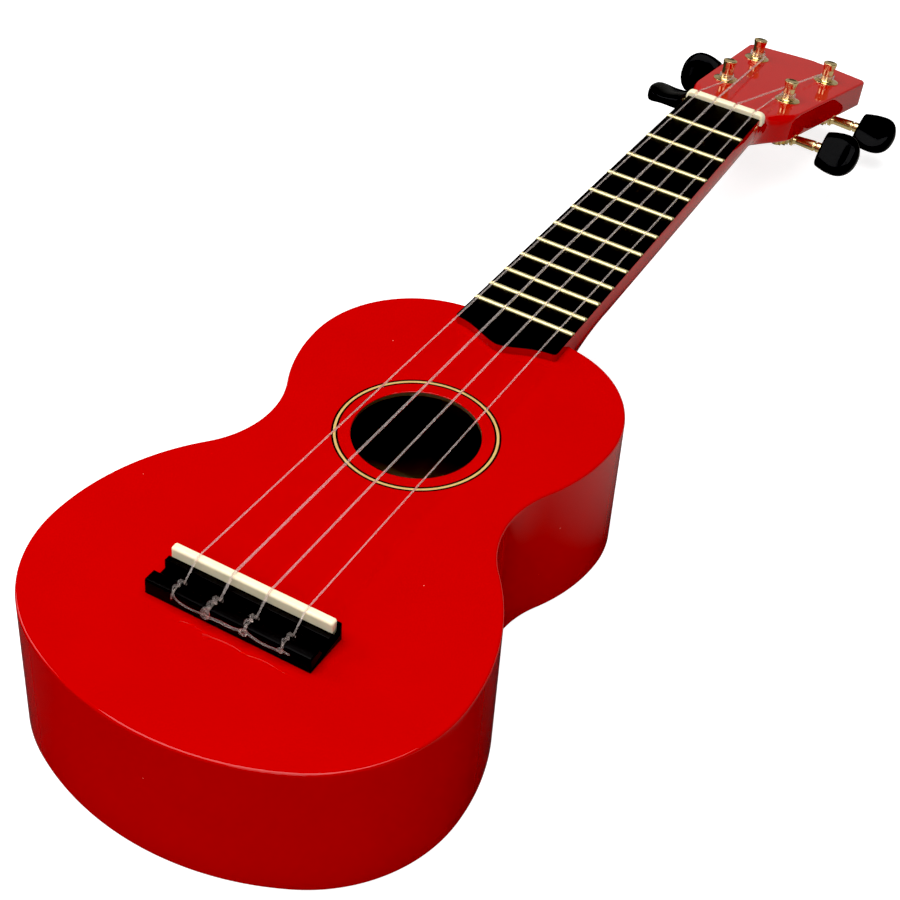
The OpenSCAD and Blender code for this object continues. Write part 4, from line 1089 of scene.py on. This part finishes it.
# button: at each height a squared oval; widest beyond the middle, round at the outer end,
# thin in its middle, with a flat inner end
def buttonGrid(turnDeg):
    t = np.concatenate([[0, 0, 0.012, 0.03], np.linspace(0.06, 0.88, 34),
                        1 - 0.12 * (1 - np.sin(np.linspace(0, math.pi / 2, 14)[1:]))])[:, None]
    halfW = np.where(t < 0.5, button["inner"] + (button["width"] / 2 - button["inner"]) * np.sin(math.pi * t),
                     button["width"] / 2 * np.sqrt(np.maximum(0, 1 - (np.abs(t - 0.5) / 0.5) ** 2.3)))
    halfT = (2.9 + 0.5 * np.cos(2 * math.pi * t) + 1.1 * t) * np.sqrt(np.maximum(0, 1 - t ** 12))
    rim = np.array([0, 0.86, 0.96, 1.0] + [1.0] * (len(t) - 4))[:, None]
    a = np.linspace(0, 2 * math.pi, 72, endpoint=False)[None, :]
    c, s = np.cos(a), np.sin(a)
    x = halfT * rim * np.sign(c) * np.abs(c) ** 0.7
    y = halfW * (1 - (1 - rim) * 0.35) * np.sign(s) * np.abs(s) ** 0.8
    y[0] = 0
    turn = math.radians(turnDeg)
    z = shaft["start"] + button["length"] * t + 0 * x
    return np.stack([x * math.cos(turn) - y * math.sin(turn), x * math.sin(turn) + y * math.cos(turn), z],
                    axis=-1)


for i in range(4):
    k = i + 1
    knob, reel = "knob_%d" % k, "reel_%d" % k
    makePiece("post_%d_gold" % k, [(onTuner(i, turned(postProfile, 64)), False, True, False)], reel,
              goldPlate, ("post_%d" % k,), sharp=30)
    makePiece("bushing_%d_gold" % k, [(onTuner(i, turned(bushingProfile, 72)), True, True, False)],
              "root", goldPlate, ("bushing_%d" % k,), sharp=30)
    makePiece("winding_%d_nylon" % k, [(onTuner(i, tubeGrid(windingPath(i), stringR[i], 10, (0, 0, 1))),
                                        False, True, True)], reel, clearNylon,
              ("winding_%d" % k,), sharp=60)
    makePiece("button_%d_black" % k, [(onWorm(i, buttonGrid(tuner["turn"][i])), False, True, False)],
              knob, polishedBlack, ("button_%d" % k,), sharp=50)
    makePiece("worm_shaft_%d_gold" % k, [(onWorm(i, shaftGrid()), False, True, False)], knob,
              goldPlate, ("worm_shaft_%d" % k,), sharp=35)
    bevelledCopy("cog_%d" % k, reel, goldPlate, 0.08)
    bevelledCopy("cog_screw_%d" % k, reel, goldPlate, 0.08)
    bevelledCopy("tuner_plate_%d" % k, "root", goldPlate, 0.12)
bevelledCopy("tuner_screws", "root", goldPlate, 0.08)
print("tuning machines ready")


# ---- room, light and camera ----

room = dict(  # sizes in metres
    radius=2.6, curve=0.8, height=1.3, wallFrom=1.1, seenGlow=0.8, seenTone=0.5, floorTone=0.7,
    paintedReflectionTone=0.03, wallReflectionGlow=0.35,
    reflectionFrom=0.11, reflectionTo=0.16, floorReflectionGlow=0.46)


# white paper that the camera sees evenly bright while other rays meet a darker tone; glossy rays
# meet a painted reflection instead: a near-black tone plus a glow that no lamp gives, which on the
# floor grows with x + 0.35 y, away from the lens
def makePaper(name, glow, spread):
    material, tree, shader = newMaterial(name)
    path = addNode(tree, "LightPath")
    cloud = useGroup(tree, uneven, Broad=3.0, Fine=60.0, Share=0.2)
    tone, seen = room["floorTone"], room["seenTone"]
    other = blendColour(tree, cloud.outputs["Height"], (tone, tone, tone), (tone + 0.03,) * 3)
    # painted reflection: glossy rays meet the paper near black
    dim = blendColour(tree, path.outputs["Is Glossy Ray"], other, (room["paintedReflectionTone"],) * 3)
    tree.links.new(blendColour(tree, path.outputs["Is Camera Ray"], dim, (seen, seen, seen)),
                   shader.inputs["Base Color"])
    coords = addNode(tree, "TexCoord")
    across = addNode(tree, "VectorMath", operation="DOT_PRODUCT")
    across.inputs[1].default_value = (1.0, 0.35, 0.0)
    tree.links.new(coords.outputs["Object"], across.inputs[0])
    ramp = addNode(tree, "MapRange")
    inputsOf(ramp, From_Min=spread[0], From_Max=spread[1])
    tree.links.new(across.outputs["Value"], ramp.inputs["Value"])
    # painted reflection: a glow that only glossy rays see, a bright sheet for polished faces to mirror
    paintedReflectionGlow = blendColour(tree, ramp.outputs["Result"], (0, 0, 0), (glow, glow * 0.97, glow * 0.88))
    glossy = blendColour(tree, path.outputs["Is Glossy Ray"], (0, 0, 0), paintedReflectionGlow)
    tree.links.new(blendColour(tree, path.outputs["Is Camera Ray"], glossy, (room["seenGlow"],) * 3),
                   shader.inputs["Emission Color"])
    inputsOf(shader, Roughness=0.9, Specular_IOR_Level=0.0, Emission_Strength=1.0)
    return material


# floor that sweeps up into a round wall: radius grows, then turns a quarter circle upwards
def makeRoom():
    a = np.linspace(0, math.pi / 2, 24)
    sweep = room["radius"] - room["curve"] + room["curve"] * np.sin(a)
    r = np.concatenate([[0, 0.3, room["wallFrom"]], sweep, [room["radius"]]])
    z = np.concatenate([[0, 0, 0], room["curve"] * (1 - np.cos(a)), [room["height"]]])
    grid = turned(np.stack([r, z], axis=-1), 96)
    mesh = bpy.data.meshes.new("studioFloor")
    mesh.from_pydata(grid.reshape(-1, 3).tolist(), [],
                     gridFaces(*grid.shape[:2], False, True).tolist())
    mesh.shade_smooth()
    floor = bpy.data.objects.new("studioFloor", mesh)
    bpy.context.scene.collection.objects.link(floor)
    # the floor's painted reflection glow rises along x + 0.35 y; the wall's is even all round
    mesh.materials.append(makePaper("floorPaper", room["floorReflectionGlow"], (room["reflectionFrom"], room["reflectionTo"])))
    mesh.materials.append(makePaper("wallPaper", room["wallReflectionGlow"], (-9, -8)))
    far = np.arange(len(mesh.polygons)) // 96 >= 2
    mesh.polygons.foreach_set("material_index", far.astype(np.int32))


def addSoftbox(name, place, aim, width, height, power, colour=(1, 1, 1)):
    data = bpy.data.lights.new(name, "AREA")
    data.shape = "RECTANGLE"
    data.size, data.size_y = width, height
    data.energy = power
    data.color = colour
    lamp = bpy.data.objects.new(name, data)
    lamp.location = place
    lamp.rotation_euler = (Vector(aim) - Vector(place)).to_track_quat("-Z", "Y").to_euler()
    bpy.context.scene.collection.objects.link(lamp)


makeRoom()
addSoftbox("overhead", (-0.1, -0.1, 1.5), (-0.1, 0.1, 0), 1.5, 1.4, 35)
addSoftbox("leftFill", (-1.5, -0.2, 0.9), (0, 0.1, 0.05), 0.9, 0.7, 9)
addSoftbox("frontFill", (0.5, -1.5, 1.1), (0, 0.1, 0.05), 0.8, 0.6, 6)

world = bpy.data.worlds.new("studioAir")
bpy.context.scene.world = world
world.use_nodes = True
world.node_tree.nodes["Background"].inputs["Color"].default_value = (1, 1, 1, 1)
world.node_tree.nodes["Background"].inputs["Strength"].default_value = 0.05

view = dict(
    place=(0.25157087, -0.35475770, 0.50296634), lens=81.0558,
    right=(0.85952559, 0.50797551, 0.05636174), down=(0.3727038, -0.54750926, -0.74921658),
    ahead=(-0.3497251, 0.66497706, -0.65992262))
cameraData = bpy.data.cameras.new("camera")
cameraData.sensor_width = 36
cameraData.lens = view["lens"]
cameraData.clip_start, cameraData.clip_end = 0.01, 50
camera = bpy.data.objects.new("camera", cameraData)
columns = [Vector(view["right"]), -Vector(view["down"]), -Vector(view["ahead"])]
turnMatrix = Matrix([[c[row] for c in columns] for row in range(3)]).to_4x4()
camera.matrix_world = Matrix.Translation(Vector(view["place"])) @ turnMatrix
bpy.context.scene.collection.objects.link(camera)
bpy.context.scene.camera = camera
look = bpy.context.scene.view_settings
look.view_transform = "Standard"
look.use_curve_mapping = True
look.curve_mapping.black_level = (0.008, 0.008, 0.008)
look.curve_mapping.update()
print("room ready")
